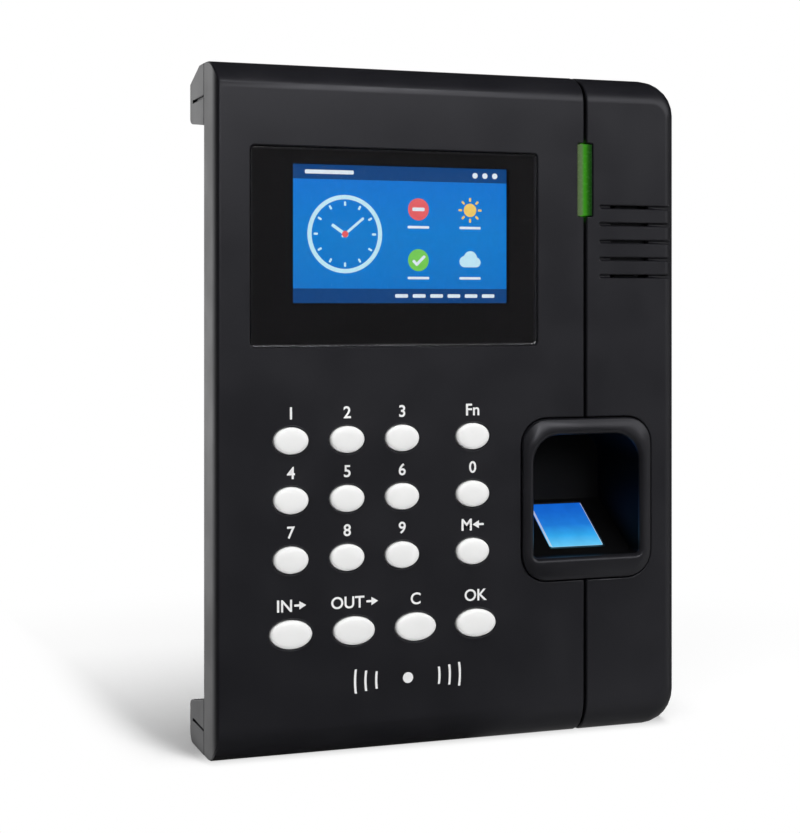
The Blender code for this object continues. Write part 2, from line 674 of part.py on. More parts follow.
def make_keypad(key_material, mat_material, board_material, parent):
    mat = plate("key_mat", rectangle(*keypad_bounds(MAT_MARGIN)), MAT_FRONT, MAT_BACK, mat_material)
    pads = []
    for name, place, size in key_layout():
        make_key(name, place, size, key_material, parent)
        outline = oval(*place, size[0] * PAD_SHARE, size[1] * PAD_SHARE, KEY_SEGMENTS // 2)
        pads.append(plate(f"{name}_pad", outline, PAD_FRONT, MAT_FRONT + PAD_HEIGHT))
    add(mat, merged("key_pads", pads))
    board = rectangle(*keypad_bounds(MAT_MARGIN + BOARD_BORDER))
    plate("keypad_board", board, KEYPAD_BOARD_FRONT, KEYPAD_BOARD_BACK, board_material)


# Fingerprint sensor

def platen_line(depth):
    """Height of the slanted finger surface at a depth."""
    return PLATEN_FRONT_Z + (depth - PLATEN_NEAR) * PLATEN_SLOPE


def make_well_cutter():
    """The finger space: it tapers to the back, and its floor rises along the platen's slope."""
    front = in_front_plane(well_outline(), -BEZEL_PROUD - OVERCUT)
    back = in_front_plane(well_outline(-WELL_DRAFT), WELL_DEPTH)
    space = loft("finger_space", [front, back])
    start = PLATEN_NEAR - (PLATEN_FRONT_Z - WELL_BOTTOM) / PLATEN_SLOPE
    floor = [(start, WELL_BOTTOM), (WELL_BACK, platen_line(WELL_BACK)), (WELL_BACK, WELL_BOTTOM - OVERCUT)]
    floor.append((start, WELL_BOTTOM - OVERCUT))
    half = WELL_WIDTH / 2 + OVERCUT
    return cut(space, beam("finger_floor", floor, BEZEL_X - half, BEZEL_X + half))


def make_sensor(bezel_material, prism_material, optics_material, board_material):
    lip = [in_front_plane(bezel_outline(-BEZEL_ROUND), -BEZEL_PROUD)]
    middle = BEZEL_ROUND * BEZEL_ROUND_MIDDLE
    lip.append(in_front_plane(bezel_outline(-middle), middle - BEZEL_PROUD))
    lip.append(in_front_plane(bezel_outline(), BEZEL_ROUND - BEZEL_PROUD))
    lip.append(in_front_plane(bezel_outline(), BEZEL_SINK))
    bezel = loft("sensor_bezel", lip, bezel_material)
    add(bezel, plate("well_body", well_outline(WELL_WALL), BEZEL_SINK / 2, WELL_BACK))
    cut(bezel, make_well_cutter())
    low = WELL_BOTTOM
    pocket_start = PLATEN_NEAR - (PLATEN_FRONT_Z - low) / PLATEN_SLOPE + 2 * WELL_WALL / PLATEN_SLOPE
    pocket = [(pocket_start, low), (WELL_DEPTH, platen_line(WELL_DEPTH - WELL_WALL / PLATEN_SLOPE))]
    pocket += [(WELL_BACK + OVERCUT, pocket[-1][1]), (WELL_BACK + OVERCUT, low)]
    half = WELL_WIDTH / 2 - WELL_DRAFT
    cut(bezel, beam("sensor_pocket", pocket, BEZEL_X - half, BEZEL_X + half))
    prism = [(PLATEN_NEAR, PLATEN_FRONT_Z), (PLATEN_FAR, PLATEN_BACK_Z), (PLATEN_FAR, PLATEN_FRONT_Z)]
    half = PLATEN_WIDTH / 2
    beam("sensor_prism", prism, PLATEN_X - half, PLATEN_X + half, prism_material)
    far = PLATEN_FAR + FIT
    reach = FIT * 3
    window = [(PLATEN_NEAR - reach, PLATEN_FRONT_Z - FIT), (PLATEN_NEAR - reach, PLATEN_FRONT_Z + OVERCUT)]
    window += [(far, PLATEN_BACK_Z + OVERCUT), (far, PLATEN_FRONT_Z - FIT)]
    cut(bezel, beam("platen_window", window, PLATEN_X - half - FIT, PLATEN_X + half + FIT))
    high = PLATEN_BACK_Z - WELL_WALL
    optics = rectangle(PLATEN_X - half, PLATEN_X + half, low + FIT, high)
    plate("sensor_optics", optics, far, OPTICS_BACK, optics_material)
    half += WELL_WALL
    board = rectangle(PLATEN_X - half, PLATEN_X + half, low + FIT, high)
    board_front = OPTICS_BACK + FIT
    plate("sensor_board", board, board_front, board_front + BOARD_THICKNESS, board_material)


# Status light, speaker and card antenna

def make_signals(light_material, board_material, speaker_material):
    flange_back = COVER_BACK + LED_FLANGE_THICKNESS
    pipe = plate("led_light_pipe", light_outline(), -LED_PROUD, LED_LENGTH, light_material)
    add(pipe, plate("light_flange", light_outline(LED_FLANGE), COVER_BACK, flange_back))
    front = LED_LENGTH + FIT
    plate("led_board", light_outline(LED_FLANGE), front, front + BOARD_THICKNESS, board_material)
    speaker = peg("speaker", SPEAKER_X, SPEAKER_Z, SPEAKER_RADIUS, COVER_BACK, COVER_BACK + SPEAKER_DEPTH,
                  speaker_material)
    magnet = SPEAKER_RADIUS / 2
    add(speaker, peg("speaker_magnet", SPEAKER_X, SPEAKER_Z, magnet, COVER_BACK + SPEAKER_DEPTH / 2,
                     COVER_BACK + SPEAKER_DEPTH + LED_FLANGE_THICKNESS))
    left = LEFT + ANTENNA_LEFT_INSET
    antenna = rectangle(left, left + ANTENNA_WIDTH, ANTENNA_BOTTOM, ANTENNA_BOTTOM + ANTENNA_HEIGHT)
    plate("antenna_board", antenna, COVER_BACK, COVER_BACK + BOARD_THICKNESS, board_material)


# Rear housing

def rail_profiles():
    """Side views of the lower and upper end rails, which taper to the back, in depth and height."""
    lower = [(RAIL_FRONT, 0)]
    lower += arc(RAIL_BACK - BASE_ROUND, BASE_ROUND, BASE_ROUND, BASE_ROUND, -90, 0)
    low_round = RAIL_HEIGHT_BOTTOM - RAIL_TAPER_BOTTOM - RAIL_ROUND_RISE
    lower += arc(RAIL_BACK - RAIL_ROUND, low_round, RAIL_ROUND, RAIL_ROUND_RISE, 0, 90)
    lower.append((RAIL_FRONT, RAIL_HEIGHT_BOTTOM))
    under = HEIGHT - RAIL_HEIGHT_TOP
    upper = [(RAIL_FRONT, under)]
    high_round = under + RAIL_TAPER_TOP + RAIL_ROUND_RISE
    upper += arc(RAIL_BACK - RAIL_ROUND, high_round, RAIL_ROUND, RAIL_ROUND_RISE, -90, 0)
    upper += [(RAIL_BACK, HEIGHT - TOP_SLOPE_DROP), (RAIL_BACK - TOP_SLOPE_RUN, HEIGHT)]
    upper.append((RAIL_FRONT, HEIGHT))
    return lower, upper


def connector_layout():
    """Each connector's name, middle along X and size, side by side from the left end of the main board."""
    sizes = [("ethernet_jack", ETHERNET_WIDTH, ETHERNET_HEIGHT), ("usb_port", USB_WIDTH, USB_HEIGHT)]
    sizes.append(("power_jack", POWER_WIDTH, POWER_HEIGHT))
    sizes.append(("terminal_block", TERMINAL_WIDTH, TERMINAL_HEIGHT))
    x = MAIN_BOARD_LEFT + CONNECTOR_GAP / 2
    layout = []
    for name, width, height in sizes:
        layout.append((name, x + width / 2, width, height))
        x += width + CONNECTOR_GAP
    return layout


def connector_window(grow):
    """The outline round all the connectors."""
    layout = connector_layout()
    low_x = layout[0][1] - layout[0][2] / 2 - grow
    high_x = layout[-1][1] + layout[-1][2] / 2 + grow
    half = max(height for _, _, _, height in layout) / 2 + grow
    return rectangle(low_x, high_x, CONNECTOR_Z - half, CONNECTOR_Z + half)


def board_screw_places():
    xs = (MAIN_BOARD_LEFT + BOARD_SCREW_INSET, MAIN_BOARD_RIGHT - BOARD_SCREW_INSET)
    zs = (MAIN_BOARD_BOTTOM + BOARD_SCREW_INSET, MAIN_BOARD_TOP - BOARD_SCREW_INSET)
    return [(x, z) for x in xs for z in zs]


def housing_screw_places():
    xs = (LEFT + HOUSING_SCREW_INSET, RIGHT - HOUSING_SCREW_INSET)
    zs = (HOUSING_SCREW_LOW, HOUSING_SCREW_HIGH)
    return [(x, z) for x in xs for z in zs]


def add_rails(housing):
    """The two end rails, rounded at the right-hand end."""
    for name, profile in zip(("lower_rail", "upper_rail"), rail_profiles()):
        rail = beam(name, profile, LEFT, RIGHT)
        corners = rectangle(LEFT - OVERCUT, RIGHT, 0, HEIGHT, (0, CORNER_RADIUS, CORNER_RADIUS, 0))
        round_end = plate(f"{name}_end", corners, 0, DEPTH + OVERCUT)
        add(housing, combine(rail, [round_end], "INTERSECT"))


def cut_rail_grooves(housing):
    """A fine line across each end face of the rails."""
    for z in (RAIL_GROOVE_LOW, HEIGHT - RAIL_GROOVE_HIGH):
        groove = rectangle(0, RAIL_BACK - RAIL_ROUND, z - RAIL_GROOVE / 2, z + RAIL_GROOVE / 2)
        cut(housing, beam("left_rail_groove", groove, LEFT - OVERCUT, LEFT + RAIL_GROOVE))
        cut(housing, beam("right_rail_groove", groove, RIGHT - RAIL_GROOVE, RIGHT + OVERCUT))


def add_board_posts(housing):
    for index, (x, z) in enumerate(board_screw_places()):
        add(housing, peg(f"board_post_{index}", x, z, BOSS_RADIUS, ON_BOARD, REAR_INSIDE + REAR_WALL / 2))
        depth = MAIN_BOARD_DEPTH + BOARD_SCREW_LENGTH + FIT
        cut(housing, peg(f"board_bore_{index}", x, z, SCREW_RADIUS + FIT, 0, depth))


def cut_bracket_seats(housing):
    """Slots for the bracket's hooks, the recess of its tongue and the hole of its lock screw."""
    for x in (-HOOK_SPREAD, HOOK_SPREAD):
        half = HOOK_WIDTH / 2 + FIT
        slot = rectangle(x - half, x + half, HOOK_Z - FIT, HOOK_Z + HOOK_RISE + FIT)
        cut(housing, plate("hook_slot", slot, REAR_INSIDE - FIT, DEPTH))
    half = TONGUE_WIDTH / 2 + FIT
    recess = rectangle(-half, half, TONGUE_Z - FIT, BRACKET_BOTTOM)
    cut(housing, plate("tongue_recess", recess, BRACKET_FRONT - FIT, DEPTH + OVERCUT))
    slot = rectangle(-half, half, TONGUE_Z - FIT, TONGUE_Z + BRACKET_THICKNESS + FIT)
    cut(housing, plate("tab_slot", slot, TAB_FRONT - FIT, DEPTH + OVERCUT))
    shank = round_outline(0, LOCK_SCREW_DEPTH, LOCK_SCREW_RADIUS + FIT)
    head = round_outline(0, LOCK_SCREW_DEPTH, LOCK_HEAD_RADIUS + FIT)
    cut(housing, column("lock_shank_hole", shank, -OVERCUT, CAVITY_FLOOR + OVERCUT))
    cut(housing, column("lock_head_hole", head, -OVERCUT, LOCK_SEAT))


def make_rear_housing(material):
    margin = COVER_WALL + FIT
    radius = CORNER_RADIUS - margin
    left = LEFT + SIDE_WALL + FIT
    outline = rectangle(left, RIGHT - margin, margin, HEIGHT - margin, (0, radius, radius, 0))
    housing = plate("rear_housing", outline, FLANGE_FRONT, FLANGE_BACK, material)
    add_rails(housing)
    hump = rectangle(-HUMP_SIDE, HUMP_SIDE, RAIL_HEIGHT_BOTTOM / 2, HEIGHT - RAIL_HEIGHT_TOP / 2)
    add(housing, plate("rear_hump", hump, FLANGE_FRONT + FIT, HUMP_DEPTH))
    inner = HUMP_SIDE - REAR_WALL
    cavity = rectangle(-inner, inner, CAVITY_FLOOR, HEIGHT - CAVITY_CEILING)
    cut(housing, plate("rear_cavity", cavity, 0, REAR_INSIDE))
    cut_rail_grooves(housing)
    add_board_posts(housing)
    for x, z in housing_screw_places():
        cut(housing, peg("housing_screw_hole", x, z, SCREW_RADIUS + FIT, 0, DEPTH))
    opening = connector_window(CONNECTOR_WINDOW_MARGIN)
    cut(housing, plate("connector_opening", opening, REAR_INSIDE - FIT, DEPTH))
    cut_bracket_seats(housing)


# Boards and connectors

def make_main_board(board_material):
    outline = rectangle(MAIN_BOARD_LEFT, MAIN_BOARD_RIGHT, MAIN_BOARD_BOTTOM, MAIN_BOARD_TOP)
    board = plate("main_board", outline, MAIN_BOARD_DEPTH, MAIN_BOARD_BACK, board_material)
    for index, (x, z) in enumerate(board_screw_places()):
        cut(board, peg(f"main_board_hole_{index}", x, z, SCREW_RADIUS + FIT, 0, DEPTH))
    cut(board, plate("sensor_room", well_outline(WELL_WALL + BOARD_CLEARANCE), 0, DEPTH))


def connector_block(name, x, width, height, material):
    outline = rectangle(x - width / 2, x + width / 2, CONNECTOR_Z - height / 2, CONNECTOR_Z + height / 2)
    return plate(name, outline, ON_BOARD, CONNECTOR_BACK, material)


def make_connectors(shell_material, plastic_material, terminal_material):
    socket_floor = ON_BOARD + CONNECTOR_WALL
    mouth = CONNECTOR_BACK + OVERCUT
    for name, x, width, height in connector_layout():
        inner_x = width / 2 - CONNECTOR_WALL
        inner_z = height / 2 - CONNECTOR_WALL
        if name in ("ethernet_jack", "usb_port"):
            block = connector_block(name, x, width, height, shell_material)
            socket = rectangle(x - inner_x, x + inner_x, CONNECTOR_Z - inner_z, CONNECTOR_Z + inner_z)
            cut(block, plate(f"{name}_socket", socket, socket_floor, mouth))
        elif name == "power_jack":
            block = connector_block(name, x, width, height, plastic_material)
            cut(block, peg("power_bore", x, CONNECTOR_Z, POWER_BORE, socket_floor, mouth))
            pin_end = CONNECTOR_BACK - CONNECTOR_WALL
            add(block, peg("power_pin", x, CONNECTOR_Z, POWER_PIN, socket_floor - FIT, pin_end))
        else:
            block = connector_block(name, x, width, height, terminal_material)
            holes = []
            for way in range(TERMINAL_WAYS):
                hole_x = x + (way - (TERMINAL_WAYS - 1) / 2) * TERMINAL_PITCH
                outline = round_outline(hole_x, CONNECTOR_Z, TERMINAL_HOLE)
                holes.append(plate(f"terminal_hole_{way}", outline, socket_floor, mouth))
            cut(block, merged("terminal_holes", holes))


def make_board_parts(relay_material, holder_material, cell_material):
    right = MAIN_BOARD_RIGHT - RELAY_INSET
    outline = rectangle(right - RELAY_WIDTH, right, RELAY_BOTTOM, RELAY_BOTTOM + RELAY_HEIGHT)
    plate("relay", outline, ON_BOARD, ON_BOARD + RELAY_DEPTH, relay_material)
    x, z = MAIN_BOARD_LEFT + CELL_INSET, CELL_Z
    seat = ON_BOARD + HOLDER_BASE
    rim = seat + FIT + CELL_THICKNESS * HOLDER_RIM_SHARE
    wall = round_outline(x, z, CELL_RADIUS + FIT + HOLDER_WALL, KEY_SEGMENTS)
    holder = plate("battery_holder", wall, ON_BOARD, rim, holder_material)
    bore = round_outline(x, z, CELL_RADIUS + FIT, KEY_SEGMENTS)
    cut(holder, plate("battery_seat", bore, seat, rim + OVERCUT))
    cell = round_outline(x, z, CELL_RADIUS, KEY_SEGMENTS)
    plate("coin_cell", cell, seat + FIT, seat + FIT + CELL_THICKNESS, cell_material)


def make_ribbons(material):
    """Flat cables, each lying on the two boards that it joins."""
    half = RIBBON_THICKNESS / 2
    from_screen = BACKLIGHT_BACK + FIT + half
    to_board = MAIN_BOARD_DEPTH - FIT - half
    low = SCREEN_Z - SCREEN_HEIGHT / 2
    path = [(from_screen, SCREEN_Z + PANEL_MARGIN)] + swing((from_screen, SCREEN_Z), (to_board, low))
    path.append((to_board, low - PANEL_MARGIN))
    left = SCREEN_X - RIBBON_WIDTH / 2
    beam("lcd_ribbon", band(path, RIBBON_THICKNESS), left, left + RIBBON_WIDTH, material)
    from_keypad = KEYPAD_BOARD_BACK + FIT + half
    high = TOP_ROW_Z - ROW_PITCH
    path = [(from_keypad, high)] + swing((from_keypad, high - ROW_PITCH / 2), (to_board, high - ROW_PITCH))
    path.append((to_board, high - ROW_PITCH - PANEL_MARGIN))
    left = FIRST_COLUMN_X
    beam("keypad_ribbon", band(path, RIBBON_THICKNESS), left, left + RIBBON_WIDTH, material)
    from_sensor = OPTICS_BACK + 2 * FIT + BOARD_THICKNESS + half
    to_board = MAIN_BOARD_BACK + FIT + half
    landing = SENSOR_LEFT - BOARD_CLEARANCE - CABLE_SWING
    path = [(PLATEN_X, from_sensor), (SENSOR_LEFT, from_sensor)]
    for depth, x in swing((from_sensor, SENSOR_LEFT - FIT), (to_board, landing)):
        path.append((x, depth))
    path.append((landing - CABLE_LANDING, to_board))
    middle = (WELL_BOTTOM + PLATEN_BACK_Z) / 2
    column("sensor_cable", band(path, RIBBON_THICKNESS), middle - CABLE_WIDTH / 2, middle + CABLE_WIDTH / 2,
           material)


# Fasteners

def make_screw(name, x, z, seat, length, way, material):
    """A pan-head screw along the depth: its head stands off the seat, its shank runs the given way."""
    head = peg(name, x, z, SCREW_HEAD_RADIUS, seat, seat - way * SCREW_HEAD, material)
    add(head, peg(f"{name}_shank", x, z, SCREW_RADIUS, seat - way * SCREW_HEAD / 2, seat + way * length))
    reach = SCREW_HEAD_RADIUS * 2
    slot = rectangle(x - reach, x + reach, z - SCREW_SLOT / 2, z + SCREW_SLOT / 2)
    top = seat - way * SCREW_HEAD
    near, far = sorted((top - way * OVERCUT, top + way * SCREW_SLOT))
    cut(head, plate(f"{name}_slot", slot, near, far))


def make_screws(material):
    for index, (x, z) in enumerate(board_screw_places(), start=1):
        make_screw(f"board_screw_{index}", x, z, MAIN_BOARD_DEPTH - FIT, BOARD_SCREW_LENGTH, 1, material)
    seat = FLANGE_BACK + FIT
    for index, (x, z) in enumerate(housing_screw_places(), start=1):
        make_screw(f"housing_screw_{index}", x, z, seat, HOUSING_SCREW_LENGTH, -1, material)
    head = round_outline(0, LOCK_SCREW_DEPTH, LOCK_HEAD_RADIUS)
    lock = column("lock_screw", head, LOCK_RECESS, LOCK_RECESS + LOCK_HEAD, material)
    shank = round_outline(0, LOCK_SCREW_DEPTH, LOCK_SCREW_RADIUS)
    tip = TONGUE_Z + 2 * BRACKET_THICKNESS
    add(lock, column("lock_shank", shank, LOCK_RECESS + LOCK_HEAD / 2, tip))
    socket = round_outline(0, LOCK_SCREW_DEPTH, LOCK_HEAD_RADIUS / 2, ARC_STEPS)
    cut(lock, column("lock_socket", socket, -OVERCUT, LOCK_RECESS + LOCK_HEAD / 2))


# Wall bracket

def make_wall_bracket(material):
    half = BRACKET_WIDTH / 2
    sheet = rectangle(-half, half, BRACKET_BOTTOM, BRACKET_TOP, (BRACKET_RADIUS,) * 4)
    bracket = plate("wall_bracket", sheet, BRACKET_FRONT, DEPTH, material)
    bend = BRACKET_THICKNESS
    tongue_half = TONGUE_WIDTH / 2
    tongue = [(TAB_FRONT, TONGUE_Z), (DEPTH, TONGUE_Z), (DEPTH, BRACKET_BOTTOM + BRACKET_RADIUS)]
    tongue += [(BRACKET_FRONT, BRACKET_BOTTOM + BRACKET_RADIUS), (BRACKET_FRONT, TONGUE_Z + bend)]
    tongue.append((TAB_FRONT, TONGUE_Z + bend))
    add(bracket, beam("bracket_tongue", tongue, -tongue_half, tongue_half))
    hook = [(BRACKET_FRONT + bend / 2, HOOK_Z), (BRACKET_FRONT + bend / 2, HOOK_Z + bend)]
    hook += [(HOOK_FRONT + bend, HOOK_Z + bend), (HOOK_FRONT + bend, HOOK_Z + HOOK_RISE)]
    hook += [(HOOK_FRONT, HOOK_Z + HOOK_RISE), (HOOK_FRONT, HOOK_Z)]
    for x in (-HOOK_SPREAD, HOOK_SPREAD):
        add(bracket, beam(f"bracket_hook_{x / MM:.0f}", hook, x - HOOK_WIDTH / 2, x + HOOK_WIDTH / 2))
    cable = connector_window(CONNECTOR_WINDOW_MARGIN + CABLE_HOLE_MARGIN)
    cut(bracket, plate("cable_hole", cable, 0, DEPTH + OVERCUT))
    inset = half - BRACKET_HOLE_INSET
    holes = []
    for x in (-inset, inset):
        for z in (BRACKET_BOTTOM + BRACKET_HOLE_INSET, BRACKET_TOP - BRACKET_HOLE_INSET):
            hole = round_outline(x, z, BRACKET_HOLE_RADIUS)
            holes.append(plate("bracket_hole", hole, BRACKET_FRONT - OVERCUT, DEPTH + OVERCUT))
    cut(bracket, merged("bracket_holes", holes))
    lock = round_outline(0, LOCK_SCREW_DEPTH, LOCK_SCREW_RADIUS + FIT)
    cut(bracket, column("lock_hole", lock, TONGUE_Z - OVERCUT, TONGUE_Z + bend + OVERCUT))


def main():
    for thing in list(bpy.data.objects):
        bpy.data.objects.remove(thing)
    black = make_material("black matte plastic", (0.012, 0.012, 0.014), 0.42)
    satin = make_material("black satin plastic", (0.010, 0.010, 0.011), 0.3)
    smoke = make_material("smoked window", (0.004, 0.003, 0.004), 0.06)
    screen = make_material("screen blue", (0.02, 0.2, 0.6), 0.15)
    white = make_material("white key plastic", (0.82, 0.82, 0.82), 0.4)
    light_grey = make_material("grey silicone", (0.35, 0.36, 0.37), 0.6)
    milky = make_material("white light guide", (0.8, 0.82, 0.85), 0.35)
    green = make_material("green light pipe", (0.05, 0.32, 0.02), 0.2)
    blue = make_material("blue lit glass", (0.03, 0.25, 0.9), 0.08)
    board = make_material("green circuit board", (0.02, 0.16, 0.06), 0.45)
    steel = make_material("zinc-plated steel", (0.62, 0.62, 0.6), 0.35, 1.0)
    cable = make_material("grey cable", (0.55, 0.55, 0.52), 0.5)
    terminal_green = make_material("green terminal plastic", (0.03, 0.3, 0.08), 0.45)
    relay_blue = make_material("blue relay case", (0.03, 0.08, 0.4), 0.35)

    frame = bpy.data.objects.new("terminal", None)
    bpy.context.scene.collection.objects.link(frame)

    make_front_cover(black)
    make_side_cover(black)
    make_screen(smoke, screen, steel, milky)
    make_keypad(white, light_grey, board, frame)
    make_sensor(satin, blue, black, board)
    make_signals(green, board, black)
    make_rear_housing(black)
    make_main_board(board)
    make_connectors(steel, black, terminal_green)
    make_board_parts(relay_blue, black, steel)
    make_ribbons(cable)
    make_screws(steel)
    make_wall_bracket(steel)
    for thing in bpy.data.objects:
        if thing.type == "MESH" and not thing.hide_render:
            thing.parent = frame


main()
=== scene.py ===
"""A wall terminal with screen, keypad and finger reader: finishes, finer pieces, studio and camera."""

from __future__ import annotations

import json
import logging
import math
from collections.abc import Callable, Sequence
from dataclasses import dataclass
from enum import Enum

import bmesh
import bpy
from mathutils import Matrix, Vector

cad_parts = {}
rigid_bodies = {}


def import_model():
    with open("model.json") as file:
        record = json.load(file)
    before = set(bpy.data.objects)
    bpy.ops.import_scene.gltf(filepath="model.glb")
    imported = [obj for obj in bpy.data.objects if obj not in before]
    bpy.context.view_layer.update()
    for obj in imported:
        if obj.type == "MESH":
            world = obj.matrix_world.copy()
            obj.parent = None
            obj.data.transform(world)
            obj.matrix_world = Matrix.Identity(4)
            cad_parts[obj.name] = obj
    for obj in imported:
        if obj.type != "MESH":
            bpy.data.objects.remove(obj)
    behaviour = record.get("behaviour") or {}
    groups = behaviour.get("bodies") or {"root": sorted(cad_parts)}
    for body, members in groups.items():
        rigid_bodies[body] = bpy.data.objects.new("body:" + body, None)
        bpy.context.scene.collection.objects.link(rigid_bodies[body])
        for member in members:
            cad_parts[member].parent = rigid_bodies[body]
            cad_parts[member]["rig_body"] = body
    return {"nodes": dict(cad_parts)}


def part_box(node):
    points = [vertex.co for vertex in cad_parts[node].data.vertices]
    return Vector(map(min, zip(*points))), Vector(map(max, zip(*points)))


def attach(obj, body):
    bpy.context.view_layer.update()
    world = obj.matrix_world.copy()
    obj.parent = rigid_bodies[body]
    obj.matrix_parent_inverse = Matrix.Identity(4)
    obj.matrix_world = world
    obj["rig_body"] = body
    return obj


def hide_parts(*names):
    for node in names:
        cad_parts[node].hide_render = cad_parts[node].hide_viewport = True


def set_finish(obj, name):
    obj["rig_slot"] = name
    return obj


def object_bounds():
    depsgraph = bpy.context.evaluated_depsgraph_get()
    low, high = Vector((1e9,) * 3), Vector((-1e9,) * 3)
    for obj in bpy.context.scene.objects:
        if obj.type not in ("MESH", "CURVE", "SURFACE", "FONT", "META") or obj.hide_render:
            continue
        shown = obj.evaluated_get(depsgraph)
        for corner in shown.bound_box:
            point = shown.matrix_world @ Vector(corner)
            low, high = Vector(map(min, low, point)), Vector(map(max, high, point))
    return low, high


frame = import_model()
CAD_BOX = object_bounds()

LOG = logging.getLogger("terminal")
MM = 0.001
NEAR = 1e-6
BODY = "terminal"
FACE_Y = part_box("front_cover")[0].y
SMOOTH_ANGLE = math.radians(32)
FLAT_ANGLE = math.radians(0.5)
SHORT_EDGE = 0.06 * MM
ALONG = 0.99
SAME_WAY = 0.9999
FACING_FRONT = (math.pi / 2, 0, 0)
CLOUD = (0.3, 0.7)
RING_OUTLINE = 48

Span = tuple[float, float]
Triple = tuple[float, float, float]
Colour = Triple
Hand = tuple[Span, float, float, int]
Piece = bpy.types.Object
Node = bpy.types.Node
Socket = bpy.types.NodeSocket
Material = bpy.types.Material
Vert = bmesh.types.BMVert
Edge = bmesh.types.BMEdge
Face = bmesh.types.BMFace
Test = Callable[[object], bool]
Stops = tuple[tuple[float, Colour], ...]


class Slot(Enum):
    """The record's material slots."""

    SHELL = "black_shell"
    SATIN = "black_satin"
    WINDOW = "smoked_window"
    SCREEN = "screen_glass"
    KEY = "white_key"
    SILICONE = "grey_silicone"
    GUIDE = "light_guide"
    LAMP = "green_light"
    PLATEN = "blue_glass"
    BOARD = "circuit_board"
    STEEL = "plated_steel"
    CABLE = "grey_cable"
    TERMINALS = "green_terminal"
    RELAY = "blue_relay"


class Axis(Enum):
    """The axes of the shared frame."""

    X = 0
    Y = 1
    Z = 2


class Curve(Enum):
    """How a mapped value runs between its limits."""

    STRAIGHT = "LINEAR"
    SMOOTH = "SMOOTHSTEP"


class ArrowWay(Enum):
    """Which way a printed arrow points, as a sign along X."""

    LEFT = -1
    RIGHT = 1


# Modelling helpers

def fresh() -> None:
    """Leaves edit mode and deselects everything."""
    active = bpy.context.view_layer.objects.active
    if active is not None and active.mode != "OBJECT":
        bpy.ops.object.mode_set(mode="OBJECT")
    bpy.ops.object.select_all(action="DESELECT")


def take(piece: Piece) -> None:
    """Makes one piece the only selected one.

    Args:
        piece: the piece.
    """
    fresh()
    piece.select_set(True)
    bpy.context.view_layer.objects.active = piece


def copied(source: Piece, name: str) -> Piece:
    """Copies a piece under a new name, with a mesh of its own.

    Args:
        source: the piece that is copied.
        name: the copy's name.

    Returns:
        The copy, linked into the scene.
    """
    copy = bpy.data.objects.new(name, source.data.copy())
    copy.data.name = name
    bpy.context.scene.collection.objects.link(copy)
    return copy


def settle(piece: Piece) -> Piece:
    """Puts a piece's place, turn and scale into its mesh.

    Args:
        piece: the piece to settle.

    Returns:
        The same piece, at the origin, unturned and unscaled.
    """
    take(piece)
    bpy.ops.object.transform_apply(location=True, rotation=True, scale=True)
    return piece


def named(name: str) -> Piece:
    """Names the piece that an operator has just made.

    Args:
        name: the piece's name.

    Returns:
        The piece.
    """
    piece = bpy.context.view_layer.objects.active
    piece.name = name
    piece.data.name = name
    return piece


def edit(piece: Piece, kind: str, test: Test | None = None) -> None:
    """Enters edit mode with some of a piece selected.

    Args:
        piece: the piece to edit.
        kind: VERT, EDGE or FACE.
        test: says which elements are selected; all of them where it is left out.
    """
    take(piece)
    bpy.ops.object.mode_set(mode="EDIT")
    bpy.ops.mesh.select_mode(type=kind)
    bpy.ops.mesh.select_all(action="DESELECT" if test else "SELECT")
    if test is None:
        return
    mesh = bmesh.from_edit_mesh(piece.data)
    elements = {"VERT": mesh.verts, "EDGE": mesh.edges, "FACE": mesh.faces}[kind]
    for element in elements:
        if test(element):
            element.select_set(True)
    mesh.select_flush_mode()
    bmesh.update_edit_mesh(piece.data)


def done() -> None:
    """Leaves edit mode."""
    bpy.ops.object.mode_set(mode="OBJECT")


def pull(depth: float) -> None:
    """Extrudes what is selected along Y."""
    bpy.ops.mesh.extrude_region_move(TRANSFORM_OT_translate={"value": (0, depth, 0)})


def move_points(piece: Piece, move: Callable[[Vert], None]) -> None:
    """Moves points of a piece that is in edit mode.

    Args:
        piece: the piece.
        move: gives one point its new place.
    """
    mesh = bmesh.from_edit_mesh(piece.data)
    for vert in mesh.verts:
        move(vert)
    bmesh.update_edit_mesh(piece.data)


def runs_along(axis: Axis) -> Test:
    """A test for edges that lie along an axis.

    Args:
        axis: the axis.

    Returns:
        The test.
    """
    def test(edge: Edge) -> bool:
        """Whether an edge lies along the axis."""
        run = edge.verts[1].co - edge.verts[0].co
        return abs(run[axis.value]) > ALONG * run.length
    return test


def lies_at(axis: Axis, level: float) -> Test:
    """A test for edges or faces that lie wholly at one level of an axis.

    Args:
        axis: the axis.
        level: the level on it.

    Returns:
        The test.
    """
    def test(element: Edge | Face) -> bool:
        """Whether all its points lie at the level."""
        return all(abs(vert.co[axis.value] - level) < NEAR for vert in element.verts)
    return test


def round_edges(piece: Piece, test: Test, width: float, segments: int = 3) -> None:
    """Rounds the edges of a piece that pass a test.

    Args:
        piece: the piece.
        test: says which edges are rounded.
        width: how far the round reaches.
        segments: the facets across the round.
    """
    edit(piece, "EDGE", test)
    bpy.ops.mesh.bevel(offset=width, segments=segments, profile=0.5, affect="EDGES", clamp_overlap=True)
    done()


def smooth(piece: Piece, angle: float = SMOOTH_ANGLE) -> Piece:
    """Shades a piece smooth, with its sharp edges kept.

    Args:
        piece: the piece.
        angle: the angle from which an edge is sharp.

    Returns:
        The same piece.
    """
    take(piece)
    bpy.ops.object.shade_smooth_by_angle(angle=angle)
    return piece


def apply_modifiers(piece: Piece) -> None:
    """Applies every modifier of a piece, in order.

    Args:
        piece: the piece.
    """
    take(piece)
    for modifier in list(piece.modifiers):
        bpy.ops.object.modifier_apply(modifier=modifier.name)


